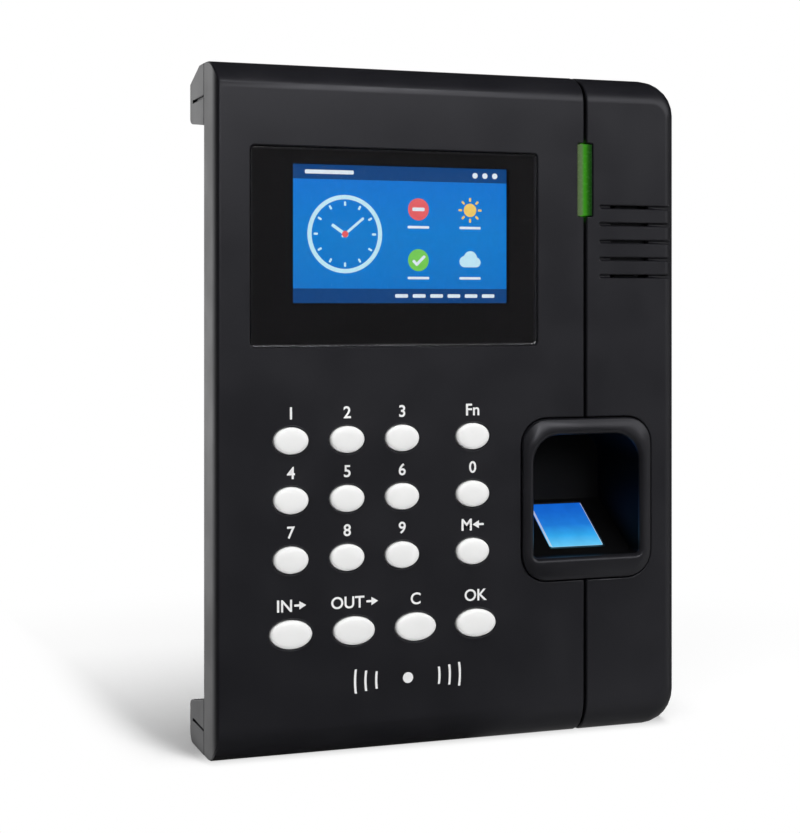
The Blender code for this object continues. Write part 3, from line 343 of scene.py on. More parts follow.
def level_normals(piece: Piece, by_strength: bool = False) -> Piece:
    """Keeps the large flat faces flat in the shading, beside their rounded edges.

    Args:
        piece: the piece.
        by_strength: whether the faces beside the rounds count for more than the rounds.

    Returns:
        The same piece.
    """
    level = piece.modifiers.new("level", "WEIGHTED_NORMAL")
    level.keep_sharp = True
    level.use_face_influence = by_strength
    apply_modifiers(piece)
    return piece


def mend(piece: Piece) -> Piece:
    """Merges doubled points and turns all faces outwards.

    Args:
        piece: the piece.

    Returns:
        The same piece.
    """
    edit(piece, "VERT")
    bpy.ops.mesh.remove_doubles(threshold=NEAR)
    bpy.ops.mesh.normals_make_consistent(inside=False)
    done()
    return piece


def join(name: str, pieces: Sequence[Piece]) -> Piece:
    """Joins pieces of one finish into one.

    Args:
        name: the joined piece's name.
        pieces: the pieces; the first one stays.

    Returns:
        The joined piece.
    """
    take(pieces[0])
    for piece in pieces[1:]:
        piece.select_set(True)
    if len(pieces) > 1:
        bpy.ops.object.join()
    return named(name)


def block(name: str, low: Sequence[float], high: Sequence[float]) -> Piece:
    """A box between two corners, as the start of a piece.

    Args:
        name: the piece's name.
        low: the lowest corner.
        high: the highest corner.

    Returns:
        The box.
    """
    fresh()
    low, high = Vector(low), Vector(high)
    bpy.ops.mesh.primitive_cube_add(size=1, location=(low + high) / 2)
    piece = named(name)
    piece.scale = high - low
    return settle(piece)


def rounded_plate(
    name: str,
    low: Sequence[float],
    high: Sequence[float],
    corner: float,
    lip: float = 0.0,
    facets: int = 6,
) -> Piece:
    """A plate that faces the front, with rounded corners and a softened front edge.

    Args:
        name: the piece's name.
        low: the lowest corner.
        high: the highest corner.
        corner: the radius of its four corners.
        lip: the width of the round along its front edge.
        facets: the facets of each corner.

    Returns:
        The plate.
    """
    piece = block(name, low, high)
    round_edges(piece, runs_along(Axis.Y), corner, facets)
    if lip > 0:
        round_edges(piece, lies_at(Axis.Y, min(low[1], high[1])), lip, 3)
    return level_normals(smooth(piece))


def disc(
    name: str, centre: Span, radius: float, span: Span, vertices: int = 32, hole: float = 0.0
) -> Piece:
    """A thin round plate that faces the front, or a ring.

    Args:
        name: the piece's name.
        centre: its centre along X and Z.
        radius: its radius.
        span: the Y of its front and back.
        vertices: the corners of its outline.
        hole: the radius of the hole in it, if it is a ring.

    Returns:
        The plate.
    """
    front, back = span
    fresh()
    bpy.ops.mesh.primitive_circle_add(
        vertices=vertices, radius=radius, fill_type="NGON",
        location=(centre[0], back, centre[1]), rotation=FACING_FRONT,
    )
    piece = settle(named(name))
    edit(piece, "FACE")
    if hole > 0:
        bpy.ops.mesh.inset(thickness=radius - hole, depth=0)
        bpy.ops.mesh.delete(type="FACE")
        bpy.ops.mesh.select_all(action="SELECT")
    pull(front - back)
    done()
    return smooth(mend(piece))


def turned(piece: Piece, angle: float, about: Sequence[float]) -> Piece:
    """Turns a piece in the front plane, clockwise as the viewer sees it.

    Args:
        piece: the piece.
        angle: the angle in degrees.
        about: the point it turns about.

    Returns:
        The same piece.
    """
    edit(piece, "VERT")
    bpy.ops.transform.rotate(value=-math.radians(angle), orient_axis="Y", center_override=about)
    done()
    return piece


def flat_regions(mesh: bmesh.types.BMesh) -> list[list[Face]]:
    """The faces of a mesh, gathered where they lie in one plane and touch along an edge.

    Args:
        mesh: the mesh.

    Returns:
        The faces of each flat area.
    """
    seen: set[Face] = set()
    regions = []
    for start in mesh.faces:
        if start in seen:
            continue
        seen.add(start)
        region = [start]
        for face in region:
            for edge in face.edges:
                for other in edge.link_faces:
                    if other not in seen and face.normal.angle(other.normal, math.pi) < FLAT_ANGLE:
                        seen.add(other)
                        region.append(other)
        regions.append(region)
    return regions


def rim_loops(region: list[Face]) -> list[list[Vector]]:
    """The points of each closed rim of a region of faces.

    Args:
        region: the faces.

    Returns:
        The points, rim by rim.
    """
    inside = set(region)
    rim = [
        edge for face in region for edge in face.edges
        if len(inside.intersection(edge.link_faces)) == 1
    ]
    loops = []
    while rim:
        verts = dict.fromkeys(rim.pop(0).verts)
        grown = True
        while grown:
            touching = [edge for edge in rim if any(vert in verts for vert in edge.verts)]
            rim = [edge for edge in rim if edge not in touching]
            grown = bool(touching)
            for edge in touching:
                verts.update(dict.fromkeys(edge.verts))
        loops.append([vert.co for vert in verts])
    return loops


def hole_cuts(piece: Piece) -> list[tuple[Vector, Vector, Vector]]:
    """Where the flat faces of a piece are cut, so that none of them has a hole in it.

    Args:
        piece: the piece, with its doubles merged.

    Returns:
        For each cut a point on it, the normal of the flat face and the normal of the cutting plane.
    """
    mesh = bmesh.new()
    mesh.from_mesh(piece.data)
    cuts: dict[tuple, tuple[Vector, Vector, Vector]] = {}
    for region in flat_regions(mesh):
        loops = rim_loops(region)
        if len(loops) < 2:
            continue
        normal = region[0].normal.copy()
        across = Vector((0, 0, 1)) if abs(normal.z) < 0.9 else Vector((1, 0, 0))
        sizes = [max((a - loop[0]).length for a in loop) for loop in loops]
        for loop, size in zip(loops, sizes):
            if size == max(sizes):
                continue
            levels = [point.dot(across) for point in loop]
            level = (min(levels) + max(levels)) / 2
            facing = tuple(round(part, 3) for part in normal)
            key = (facing, round(loop[0].dot(normal), 6), round(level, 5))
            cuts[key] = (loop[0] + across * (level - loop[0].dot(across)), normal, across)
    mesh.free()
    return list(cuts.values())


def merge_flats(piece: Piece) -> None:
    """Makes each flat area of a triangulated copy one face, or a few where it has holes.

    Args:
        piece: the copy, with its doubles merged.
    """
    for point, normal, across in hole_cuts(piece):
        def in_plane(face: Face) -> bool:
            """Whether a face lies in the flat area's plane."""
            off = (face.calc_center_median() - point).dot(normal)
            return face.normal.dot(normal) > SAME_WAY and abs(off) < NEAR

        edit(piece, "FACE", in_plane)
        bpy.ops.mesh.bisect(plane_co=point, plane_no=across, threshold=NEAR)
        bpy.ops.mesh.mark_seam()
        done()
    edit(piece, "VERT")
    bpy.ops.mesh.dissolve_limited(angle_limit=FLAT_ANGLE, delimit={"SEAM"})
    done()


def softened(
    node: str,
    name: str,
    width: float,
    segments: int = 2,
    shape: Callable[[Piece], None] | None = None,
    angle: float = SMOOTH_ANGLE,
) -> Piece:
    """A copy of a CAD node with its sharp edges rounded, which stands for the node.

    Args:
        node: the CAD node.
        name: the new piece's name.
        width: the width of the rounds.
        segments: the facets across a round.
        shape: what else is done to the copy before its edges are rounded.
        angle: the angle from which an edge counts as sharp.

    Returns:
        The new piece, riding on the node's body.
    """
    source = frame["nodes"][node]
    copy = copied(source, name)
    copy.data.materials.clear()
    take(copy)
    bpy.ops.mesh.customdata_custom_splitnormals_clear()
    edit(copy, "VERT")
    bpy.ops.mesh.remove_doubles(threshold=SHORT_EDGE)
    done()
    merge_flats(copy)
    if shape is not None:
        shape(copy)
    smooth(copy, angle)
    bevel = copy.modifiers.new("rounds", "BEVEL")
    bevel.limit_method = "ANGLE"
    bevel.angle_limit = angle
    bevel.width = width
    bevel.segments = segments
    bevel.miter_outer = "MITER_ARC"
    bevel.use_clamp_overlap = False
    bevel.face_strength_mode = "FSTR_AFFECTED"
    level_normals(copy, True)
    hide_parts(node)
    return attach(copy, source["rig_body"])


def dress(piece: Piece, material: Material, slot: Slot | None = None, body: str = BODY) -> Piece:
    """Gives a piece its one material, its record slot and the body it rides on.

    Args:
        piece: the piece.
        material: its finish.
        slot: the record's slot, where it has one.
        body: the CAD body it moves with.

    Returns:
        The same piece.
    """
    piece.data.materials.clear()
    piece.data.materials.append(material)
    if "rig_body" not in piece:
        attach(piece, body)
    if slot is not None:
        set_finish(piece, slot.value)
    LOG.info("%s wears %s", piece.name, material.name)
    return piece


# Shader helpers

class NodeBench:
    """Places and links the nodes of one tree."""

    def __init__(self, tree: bpy.types.NodeTree) -> None:
        """Starts with an empty tree."""
        self.tree = tree
        tree.nodes.clear()

    def add(self, kind: str, inputs: dict | None = None, **settings: object) -> Node:
        """Adds a node.

        Args:
            kind: the node's type.
            inputs: a value or a socket for each of its inputs that is set.
            settings: the node's own properties.

        Returns:
            The node.
        """
        node = self.tree.nodes.new(kind)
        for key, value in settings.items():
            setattr(node, key, value)
        for key, value in (inputs or {}).items():
            if isinstance(value, Socket):
                self.tree.links.new(value, node.inputs[key])
            else:
                node.inputs[key].default_value = value
        return node

    def surface(self, shader: Node) -> None:
        """Ends the tree in a surface output."""
        self.add("ShaderNodeOutputMaterial", {"Surface": shader.outputs[0]})

    def place(self) -> Socket:
        """The Object coordinates."""
        return self.add("ShaderNodeTexCoord").outputs["Object"]

    def noise(self, vector: Socket, scale: object, detail: float = 2.0) -> Socket:
        """A noise value.

        Args:
            vector: where it is read.
            scale: its scale, or a socket for it.
            detail: its octaves.

        Returns:
            The socket of its value.
        """
        node = self.add("ShaderNodeTexNoise", {"Vector": vector, "Scale": scale, "Detail": detail})
        return node.outputs["Fac"]

    def between(
        self, value: Socket, source: tuple, target: tuple, curve: Curve = Curve.SMOOTH
    ) -> Socket:
        """Maps a value from one range to another.

        Args:
            value: the value's socket.
            source: its lower and upper limit.
            target: what they become.
            curve: how it runs between the limits.

        Returns:
            The socket of the mapped value.
        """
        given = {"Value": value, "From Min": source[0], "From Max": source[1]}
        given |= {"To Min": target[0], "To Max": target[1]}
        node = self.add("ShaderNodeMapRange", given, interpolation_type=curve.value)
        return node.outputs["Result"]

    def math(self, operation: str, *values: object) -> Socket:
        """A sum, product or the like of values or sockets."""
        node = self.add("ShaderNodeMath", dict(enumerate(values)), operation=operation)
        return node.outputs["Value"]

    def vector(self, operation: str, values: dict) -> Socket:
        """What comes of an operation on vectors, which is a vector or a measure."""
        outputs = self.add("ShaderNodeVectorMath", values, operation=operation).outputs
        return outputs["Value" if operation in ("DOT_PRODUCT", "LENGTH") else "Vector"]

    def split(self, vector: Socket) -> Sequence[Socket]:
        """The X, Y and Z of a vector."""
        return self.add("ShaderNodeSeparateXYZ", {"Vector": vector}).outputs

    def grey(self, value: Socket) -> Socket:
        """A grey of one value."""
        return self.add("ShaderNodeCombineXYZ", {"X": value, "Y": value, "Z": value}).outputs["Vector"]

    def either(self, share: Socket, one: object, other: object) -> Socket:
        """A value that goes from one to the other by a share."""
        return self.add("ShaderNodeMix", {0: share, 2: one, 3: other}).outputs[0]

    def blend(self, share: object, one: object, other: object, mode: str = "MIX") -> Socket:
        """Blends two colours.

        Args:
            share: how much of the second one.
            one: a colour, or a socket for it.
            other: a colour, or a socket for it.
            mode: how they are blended.

        Returns:
            The socket of the colour.
        """
        given = {0: share, 6: one, 7: other}
        return self.add("ShaderNodeMix", given, data_type="RGBA", blend_type=mode).outputs[2]

    def ramp(self, value: Socket, stops: Stops) -> Socket:
        """A run of colours.

        Args:
            value: where along the run, from 0 to 1.
            stops: the places and their colours.

        Returns:
            The socket of the colour.
        """
        node = self.add("ShaderNodeValToRGB", {"Fac": value})
        run = node.color_ramp
        while len(run.elements) < len(stops):
            run.elements.new(1.0)
        for element, (place, colour) in zip(run.elements, stops):
            element.position = place
            element.color = (*colour, 1.0)
        return node.outputs["Color"]


def new_material(name: str) -> tuple[Material, NodeBench]:
    """An empty material and the bench for its nodes.

    Args:
        name: the material's name.

    Returns:
        The material and the bench.
    """
    material = bpy.data.materials.new(name)
    material.use_nodes = True
    return material, NodeBench(material.node_tree)


def new_group(name: str, inputs: dict[str, str], outputs: dict[str, str]) -> NodeBench:
    """An empty shader node group.

    Args:
        name: the group's name.
        inputs: the type of each input, by name.
        outputs: the type of each output, by name.

    Returns:
        The bench for its nodes.
    """
    tree = bpy.data.node_groups.new(name, "ShaderNodeTree")
    for way, sockets in (("INPUT", inputs), ("OUTPUT", outputs)):
        for label, kind in sockets.items():
            tree.interface.new_socket(name=label, in_out=way, socket_type=kind)
    return NodeBench(tree)


def grain_group() -> bpy.types.NodeTree:
    """The surface of a moulded or cast piece: fine grain, patches of gloss and patches of tint.

    Returns:
        The group, made when it is first asked for.
    """
    found = bpy.data.node_groups.get("moulded_grain")
    if found:
        return found
    numbers = dict.fromkeys(("Grain", "Patch", "Gloss Low", "Gloss High"), "NodeSocketFloat")
    results = dict.fromkeys(("Height", "Roughness", "Tint"), "NodeSocketFloat")
    bench = new_group("moulded_grain", {"Vector": "NodeSocketVector", **numbers}, results)
    given = bench.add("NodeGroupInput").outputs
    height = bench.noise(given["Vector"], given["Grain"], 3.0)
    patch = bench.noise(given["Vector"], given["Patch"], 4.0)
    gloss = bench.between(patch, CLOUD, (given["Gloss Low"], given["Gloss High"]))
    tint = bench.between(patch, (0.25, 0.75), (0.0, 1.0))
    bench.add("NodeGroupOutput", {"Height": height, "Roughness": gloss, "Tint": tint})
    return bench.tree


def grained(
    bench: NodeBench,
    vector: Socket,
    counts: Span,
    gloss: Span,
    tints: tuple[Colour, Colour],
    relief: Span,
) -> dict:
    """What a shader is given for a grained surface.

    Args:
        bench: the material's bench.
        vector: where the grain is read.
        counts: how fine the grain and the patches are.
        gloss: the roughness of the shiniest and the dullest patches.
        tints: the colours of the darkest and the lightest patches.
        relief: the strength and the height of the grain.

    Returns:
        Its colour, roughness and normal, by socket.
    """
    given = {"Vector": vector, "Grain": counts[0], "Patch": counts[1]}
    given |= {"Gloss Low": gloss[0], "Gloss High": gloss[1]}
    grain = bench.add("ShaderNodeGroup", given, node_tree=grain_group()).outputs
    dark, light = tints
    bump = {"Height": grain["Height"], "Strength": relief[0], "Distance": relief[1]}
    return {
        "Base Color": bench.blend(grain["Tint"], (*dark, 1.0), (*light, 1.0)),
        "Roughness": grain["Roughness"],
        "Normal": bench.add("ShaderNodeBump", bump).outputs["Normal"],
    }


# Finishes

@dataclass(frozen=True)
class Finish:
    """A finish by its name, with one material."""

    name: str

    def sockets(self, bench: NodeBench) -> dict:
        """What its shader is given, by socket."""
        raise NotImplementedError

    def material(self) -> Material:
        """Its material, made when it is first asked for.

        Returns:
            The material.
        """
        found = bpy.data.materials.get(self.name)
        if found:
            return found
        material, bench = new_material(self.name)
        bench.surface(bench.add("ShaderNodeBsdfPrincipled", self.sockets(bench)))
        return material


@dataclass(frozen=True)
class Plastic(Finish):
    """A moulded plastic with fine tool grain.

    Sizes of grain and patches are in counts per metre, the grain's height in metres.
    """

    dark: Colour
    light: Colour
    gloss: Span
    grain: float = 3400.0
    height: float = 0.00002
    patch: float = 60.0
    ior: float = 1.48
    milky: float = 0.0
    sheen: Colour = (1.0, 1.0, 1.0)
    relief: float = 0.5
    milky_depth: float = 0.6 * MM

    def sockets(self, bench: NodeBench) -> dict:
        """A grained surface, which lets some light in where it is milky.

        Args:
            bench: the material's bench.

        Returns:
            What the shader is given, by socket.
        """
        counts, tints = (self.grain, self.patch), (self.dark, self.light)
        sockets = grained(bench, bench.place(), counts, self.gloss, tints, (self.relief, self.height))
        sockets |= {"IOR": self.ior, "Specular Tint": (*self.sheen, 1.0)}
        if self.milky > 0:
            sockets |= {"Subsurface Weight": self.milky, "Subsurface Scale": self.milky_depth}
            sockets |= {"Subsurface Radius": (1.0, 1.0, 1.0)}
        return sockets


@dataclass(frozen=True)
class Metal(Finish):
    """A plated or drawn metal, mottled or streaked; a dull plating has less bare metal in it."""

    dark: Colour
    light: Colour
    gloss: Span
    streak: Triple
    height: float = 0.000006
    bare: float = 1.0
    counts: Span = (2.0, 0.35)
    relief: float = 0.4

    def sockets(self, bench: NodeBench) -> dict:
        """A grained surface, drawn out along the streaks.

        Args:
            bench: the material's bench.

        Returns:
            What the shader is given, by socket.
        """
        drawn = bench.add("ShaderNodeMapping", {"Vector": bench.place(), "Scale": self.streak})
        tints, relief = (self.dark, self.light), (self.relief, self.height)
        sockets = grained(bench, drawn.outputs["Vector"], self.counts, self.gloss, tints, relief)
        return sockets | {"Metallic": self.bare}


@dataclass(frozen=True)
class ClearPanel(Finish):
    """A clear hard-coated acrylic panel with a trace of haze."""

    tint: Colour
    ior: float = 1.49
    patch: float = 45.0
    haze: Span = (0.012, 0.035)

    def sockets(self, bench: NodeBench) -> dict:
        """A clear body under an uneven skin.

        Args:
            bench: the material's bench.

        Returns:
            What the shader is given, by socket.
        """
        cloud = bench.noise(bench.place(), self.patch, 3.0)
        return {
            "Base Color": (*self.tint, 1.0),
            "Roughness": bench.between(cloud, (0.35, 0.7), self.haze),
            "IOR": self.ior,
            "Transmission Weight": 1.0,
        }


@dataclass(frozen=True)
class Glow(Finish):
    """A surface that gives off light of its own, whose colour runs along one axis, under a glossy skin; on
    a part that is no lamp this light is painted.
    """

    axis: Axis
    start: float
    end: float
    stops: Stops
    strength: float = 1.0
    body: Colour = (0.01, 0.01, 0.01)
    roughness: float = 0.2
    unevenness: float = 0.06
    cell: float = 900.0
    ior: float = 1.25
    gloss_range: Span = (0.8, 1.2)

    def sockets(self, bench: NodeBench) -> dict:
        """A dark body with the run of colours as its light.

        Args:
            bench: the material's bench.

        Returns:
            What the shader is given, by socket.
        """
        place = bench.place()
        along = bench.split(place)[self.axis.value]
        share = bench.between(along, (self.start, self.end), (0.0, 1.0), Curve.STRAIGHT)
        run = bench.ramp(share, self.stops)
        cloud = bench.noise(place, self.cell)
        dim = bench.grey(bench.between(cloud, CLOUD, (1.0 - self.unevenness, 1.0)))
        gloss = tuple(self.roughness * limit for limit in self.gloss_range)
        return {
            "Base Color": (*self.body, 1.0),
            "Roughness": bench.between(cloud, CLOUD, gloss),
            "IOR": self.ior,
            "Emission Color": bench.blend(1.0, run, dim, "MULTIPLY"),
            "Emission Strength": self.strength,
        }


@dataclass(frozen=True)
class Laminate(Finish):
    """A circuit board's solder mask with copper tracks showing under it."""

    mask: Colour
    track: Colour
    pitch: float = 260.0
    straying: float = 0.35
    track_edge: Span = (0.30, 0.36)
    relief: Span = (0.4, 0.00003)
    patch: float = 300.0
    gloss: Span = (0.25, 0.38)

    def sockets(self, bench: NodeBench) -> dict:
        """A mask that stands a little higher over the tracks.

        Args:
            bench: the material's bench.

        Returns:
            What the shader is given, by socket.
        """
        place = bench.place()
        given = {"Vector": place, "Scale": self.pitch, "Randomness": self.straying}
        cells = bench.add("ShaderNodeTexVoronoi", given, distance="CHEBYCHEV", feature="F1")
        lines = bench.between(cells.outputs["Distance"], self.track_edge, (0.0, 1.0))
        bump = {"Height": lines, "Strength": self.relief[0], "Distance": self.relief[1]}
        return {
            "Base Color": bench.blend(lines, (*self.mask, 1.0), (*self.track, 1.0)),
            "Roughness": bench.between(bench.noise(place, self.patch), CLOUD, self.gloss),
            "Normal": bench.add("ShaderNodeBump", bump).outputs["Normal"],
        }


COOL_SHEEN = (0.98, 0.98, 1.05)
BLACK_ABS = Plastic(
    "grained_black_abs",
    dark=(0.0080, 0.0079, 0.0098), light=(0.0100, 0.0099, 0.0120), gloss=(0.31, 0.37),
    sheen=COOL_SHEEN,
)
SATIN_BLACK = Plastic(
    "satin_black_abs",
    dark=(0.0080, 0.0079, 0.0096), light=(0.0100, 0.0099, 0.0118), gloss=(0.28, 0.34), grain=4200.0,
    sheen=COOL_SHEEN,
)
WELL_BLACK = Plastic(
    "well_matt_black",
    dark=(0.0012, 0.0012, 0.0014), light=(0.0020, 0.0020, 0.0023), gloss=(0.55, 0.65), grain=3000.0,
    height=0.00003, ior=1.33,
)
BACK_PRINT = Plastic(
    "black_back_print",
    dark=(0.0020, 0.0014, 0.0022), light=(0.0026, 0.0019, 0.0028), gloss=(0.5, 0.6), grain=9000.0,
    height=0.0000004, ior=1.2,
)
WHITE_KEY = Plastic(
    "white_key_plastic",
    dark=(0.77, 0.77, 0.765), light=(0.80, 0.80, 0.795), gloss=(0.34, 0.42), grain=5200.0,
    height=0.000006, patch=90.0, ior=1.46, milky=0.2,
)
WHITE_INK = Plastic(
    "white_print_ink",
    dark=(0.74, 0.74, 0.74), light=(0.82, 0.82, 0.82), gloss=(0.45, 0.6), grain=9000.0, height=0.000003,
)
GREY_RUBBER = Plastic(
    "grey_silicone_rubber",
    dark=(0.20, 0.20, 0.21), light=(0.25, 0.25, 0.26), gloss=(0.5, 0.62), grain=2600.0,
)
MILKY_GUIDE = Plastic(
    "milky_light_guide",
    dark=(0.72, 0.74, 0.75), light=(0.80, 0.81, 0.82), gloss=(0.2, 0.3), grain=2600.0,
    height=0.00001, ior=1.49, milky=0.4,
)
GREY_JACKET = Plastic(
    "grey_cable_jacket",
    dark=(0.27, 0.27, 0.28), light=(0.33, 0.33, 0.34), gloss=(0.4, 0.5), grain=3000.0,
)
GREEN_NYLON = Plastic(
    "green_terminal_nylon",
    dark=(0.018, 0.16, 0.045), light=(0.026, 0.20, 0.06), gloss=(0.35, 0.45), grain=2800.0,
)
BLUE_CASE = Plastic(
    "blue_relay_case",
    dark=(0.012, 0.045, 0.30), light=(0.018, 0.06, 0.36), gloss=(0.25, 0.33), grain=3000.0,
)
ZINC_STEEL = Metal(
    "zinc_plated_steel",
    dark=(0.56, 0.57, 0.59), light=(0.63, 0.64, 0.655), gloss=(0.36, 0.46), streak=(520.0, 520.0, 380.0),
    bare=0.6,
)
SCREW_STEEL = Metal(
    "screw_steel",
    dark=(0.42, 0.42, 0.43), light=(0.55, 0.55, 0.56), gloss=(0.24, 0.36), streak=(1500.0, 1500.0, 1500.0),
)
GOLD_CONTACT = Metal(
    "gold_contacts",
    dark=(0.72, 0.48, 0.16), light=(0.85, 0.60, 0.22), gloss=(0.18, 0.28), streak=(1500.0, 300.0, 1500.0),
)
CLEAR_PANEL = ClearPanel("clear_hard_acrylic", (0.97, 0.97, 0.98))
BOARD_GREEN = Laminate("green_board_laminate", (0.010, 0.085, 0.032), (0.035, 0.17, 0.06))


# The moulded covers

@dataclass
class Covers:
    """The front cover, the side cover and the rear housing."""

    cover_round: float = 0.35 * MM
    cover_angle: float = math.radians(50)
    housing_round: float = 0.2 * MM
    rail_front: float = -0.9 * MM
    rail_reach: float = 0.25 * MM
    edge_reach: float = 1.5 * MM
    edge_run: float = 4.5 * MM

    def build(self) -> list[Piece]:
        """Copies the moulded pieces with their edges softened.

        Returns:
            The three copies.
        """
        moulded = {"width": self.cover_round, "angle": self.cover_angle}
        return [
            softened("front_cover", "front_cover_moulding", shape=self.draw_out_left_edge, **moulded),
            softened("side_cover", "side_cover_moulding", **moulded),
            softened(
                "rear_housing", "rear_housing_moulding", self.housing_round, shape=self.close_parting
            ),
        ]

    def draw_out_left_edge(self, cover: Piece) -> None:
        """Draws the round of the cover's left edge out along the side wall, ring by ring.

        Args:
            cover: the copy of the front cover.
        """
        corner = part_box("front_cover")[0]
        points = [vert.co.copy() for vert in cover.data.vertices]
        outer = [at for at in points if at.x < corner.x + self.edge_reach]
        last = corner.y + self.edge_run + SHORT_EDGE
        rings = {round(at.y / NEAR): at.y for at in outer if at.y < last}
        for level in rings.values():
            edit(cover, "FACE", lies_at(Axis.X, corner.x))
            bpy.ops.mesh.bisect(plane_co=(0, level, 0), plane_no=(0, 1, 0), threshold=NEAR)
            done()
        for at in outer:
            sink = min((at.y - corner.y) / self.edge_run, 1.0)
            inset = self.edge_reach * (1 - math.sqrt(1 - (1 - sink) ** 2))
            edit(cover, "VERT", lambda vert: (vert.co - at).length < NEAR)
            bpy.ops.transform.translate(value=(corner.x + inset - at.x, 0, 0))
            done()

    def close_parting(self, housing: Piece) -> None:
        """Brings the housing's rails close to the covers, so that no light comes through.

        Args:
            housing: the copy of the rear housing.
        """
        edit(housing, "FACE", lies_at(Axis.Y, self.rail_front))
        bpy.ops.transform.translate(value=(0, -self.rail_reach, 0))
        done()

    def dress(self, pieces: Sequence[Piece]) -> None:
        """Gives them grained black plastic.

        Args:
            pieces: the three copies.
        """
        for piece in pieces:
            dress(piece, BLACK_ABS.material(), Slot.SHELL)


# The display behind its window

class Tone(Enum):
    """The page's lit colours: the material's name, its colour, and how far it pales to the top."""

    DEEP_BLUE = ("screen_deep_blue", (0.001, 0.055, 0.22), 0.0)
    PALE = ("screen_pale", (0.55, 0.86, 0.98), 0.12)
    RED = ("screen_red", (0.83, 0.05, 0.06), 0.12)
    YELLOW = ("screen_yellow", (0.93, 0.60, 0.07), 0.12)
    GREEN = ("screen_green", (0.16, 0.62, 0.06), 0.12)
    WHITE = ("screen_white", (0.78, 0.88, 0.95), 0.12)


@dataclass
class Display:
    """The clear window with its black back print, the lit screen and the page it shows.

    Places and sizes on the page are in millimetres from its lower left corner.
    """

    lens_corner: float = 1.2 * MM
    lens_lip: float = 0.25 * MM
    print_gap: float = 0.01 * MM
    print_thickness: float = 0.08 * MM
    print_border: float = 0.5 * MM
    active_left: float = -48.35 * MM
    active_right: float = 15.25 * MM
    active_bottom: float = 124.1 * MM
    active_top: float = 162.1 * MM
    sheet: float = 0.06 * MM
    sheet_sunk: float = 0.01 * MM
    sheet_corner: float = 0.3 * MM
    ink: float = 0.03 * MM
    overlap: float = 0.2
    page_blue: Stops = ((0.0, (0.0, 0.175, 0.60)), (0.5, (0.0, 0.210, 0.66)), (1.0, (0.0, 0.180, 0.70)))
    bar: float = 4.0
    tile_facets: int = 4
    dot_outline: int = 28
    clock: Span = (15.5, 19.0)
    clock_rim: Span = (9.6, 10.8)
    clock_mark: Span = (7.8, 9.0)
    clock_hands: tuple[Hand, ...] = (((-1.0, 4.6), 0.9, -56, 2), ((-1.2, 7.0), 0.7, 50, 3))
    clock_hub: float = 0.9
    mark_width: float = 0.6
    columns: Span = (37.0, 52.5)
    rows: Span = (26.2, 12.0)
    sign: float = 3.1
    minus: Span = (3.6, 1.0)
    tick_place: Span = (-0.5, -1.2)
    tick_strokes: tuple[Hand, ...] = (((-0.3, 1.6), 0.8, -45, 2), ((-0.3, 3.4), 0.8, 45, 3))
    sun: float = 1.9
    sun_ray: Span = (2.4, 3.5)
    puffs: tuple[tuple[float, float, float, int], ...] = (
        (-1.6, -0.3, 1.6, 1), (1.8, -0.5, 1.4, 1), (0.1, 0.7, 2.0, 2),
    )
    cloud_base: tuple[Span, Span] = ((0.1, -1.3), (4.4, 1.2))
    caption: Span = (6.4, 0.7)
    caption_drop: float = 5.0
    title: tuple[Span, Span] = ((11.0, 36.0), (14.0, 1.1))
    bar_dots: tuple[float, ...] = (54.0, 57.0, 60.0)
    bar_dot: float = 0.8
    dash: Span = (3.8, 1.0)
    dash_row: Span = (32.0, 2.0)
    dash_pitch: float = 5.2

    def build(self) -> None:
        """Builds and dresses the window, its print and the screen page."""
        self.build_window()
        self.build_print()
        self.build_page()
        self.build_clock()
        self.build_motifs()

    def build_window(self) -> None:
        """The clear panel, in the lens's place."""
        low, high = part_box("display_lens")
        panel = rounded_plate("window_panel", low, high, self.lens_corner, self.lens_lip)
        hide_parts("display_lens")
        dress(panel, CLEAR_PANEL.material(), Slot.WINDOW)

    def build_print(self) -> None:
        """The black print on the window's back, open over the screen."""
        low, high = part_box("display_lens")
        size = high - low - Vector((1, 1, 1)) * 2 * self.print_border
        fresh()
        middle = Vector(((low.x + high.x) / 2, high.y + self.print_gap, (low.z + high.z) / 2))
        bpy.ops.mesh.primitive_plane_add(size=1, location=middle, rotation=FACING_FRONT)
        frame_print = named("window_print")
        frame_print.scale = (size.x, size.z, 1)
        settle(frame_print)
        edit(frame_print, "FACE")
        bpy.ops.mesh.inset(thickness=2 * MM, depth=0)

        def open_up(vert: Vert) -> None:
            """Moves a corner of the inset face to a corner of the screen.

            Args:
                vert: the point, selected if it is such a corner.
            """
            if vert.select:
                vert.co.x = self.active_left if vert.co.x < middle.x else self.active_right
                vert.co.z = self.active_bottom if vert.co.z < middle.z else self.active_top

        move_points(frame_print, open_up)
        bpy.ops.mesh.delete(type="FACE")
        bpy.ops.mesh.select_all(action="SELECT")
        pull(high.y + self.print_thickness - middle.y)
        done()
        dress(mend(frame_print), BACK_PRINT.material(), Slot.WINDOW)

    @property
    def page_front(self) -> float:
        """The Y of the page's front."""
        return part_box("lcd_panel")[0].y - self.sheet

    def spot(self, place: Span) -> Span:
        """The X and Z of a place on the page."""
        return self.active_left + place[0] * MM, self.active_bottom + place[1] * MM

    def level(self, layer: int) -> Span:
        """The Y of the front and back of one of the layers above the page."""
        back = self.page_front - (layer - 1) * self.ink + self.overlap * self.ink
        return back - (1 + self.overlap) * self.ink, back

    def tile(self, name: str, place: Span, size: Span, corner: float, layer: int) -> Piece:
        """A flat rounded tile on the page.

        Args:
            name: its name.
            place: its centre.
            size: its width and height.
            corner: its corner radius.
            layer: how many layers it lies above the page.

        Returns:
            The tile.
        """
        (x, z), (front, back) = self.spot(place), self.level(layer)
        half_width, half_height = size[0] * MM / 2, size[1] * MM / 2
        low, high = (x - half_width, front, z - half_height), (x + half_width, back, z + half_height)
        return rounded_plate(name, low, high, corner * MM, 0, self.tile_facets)

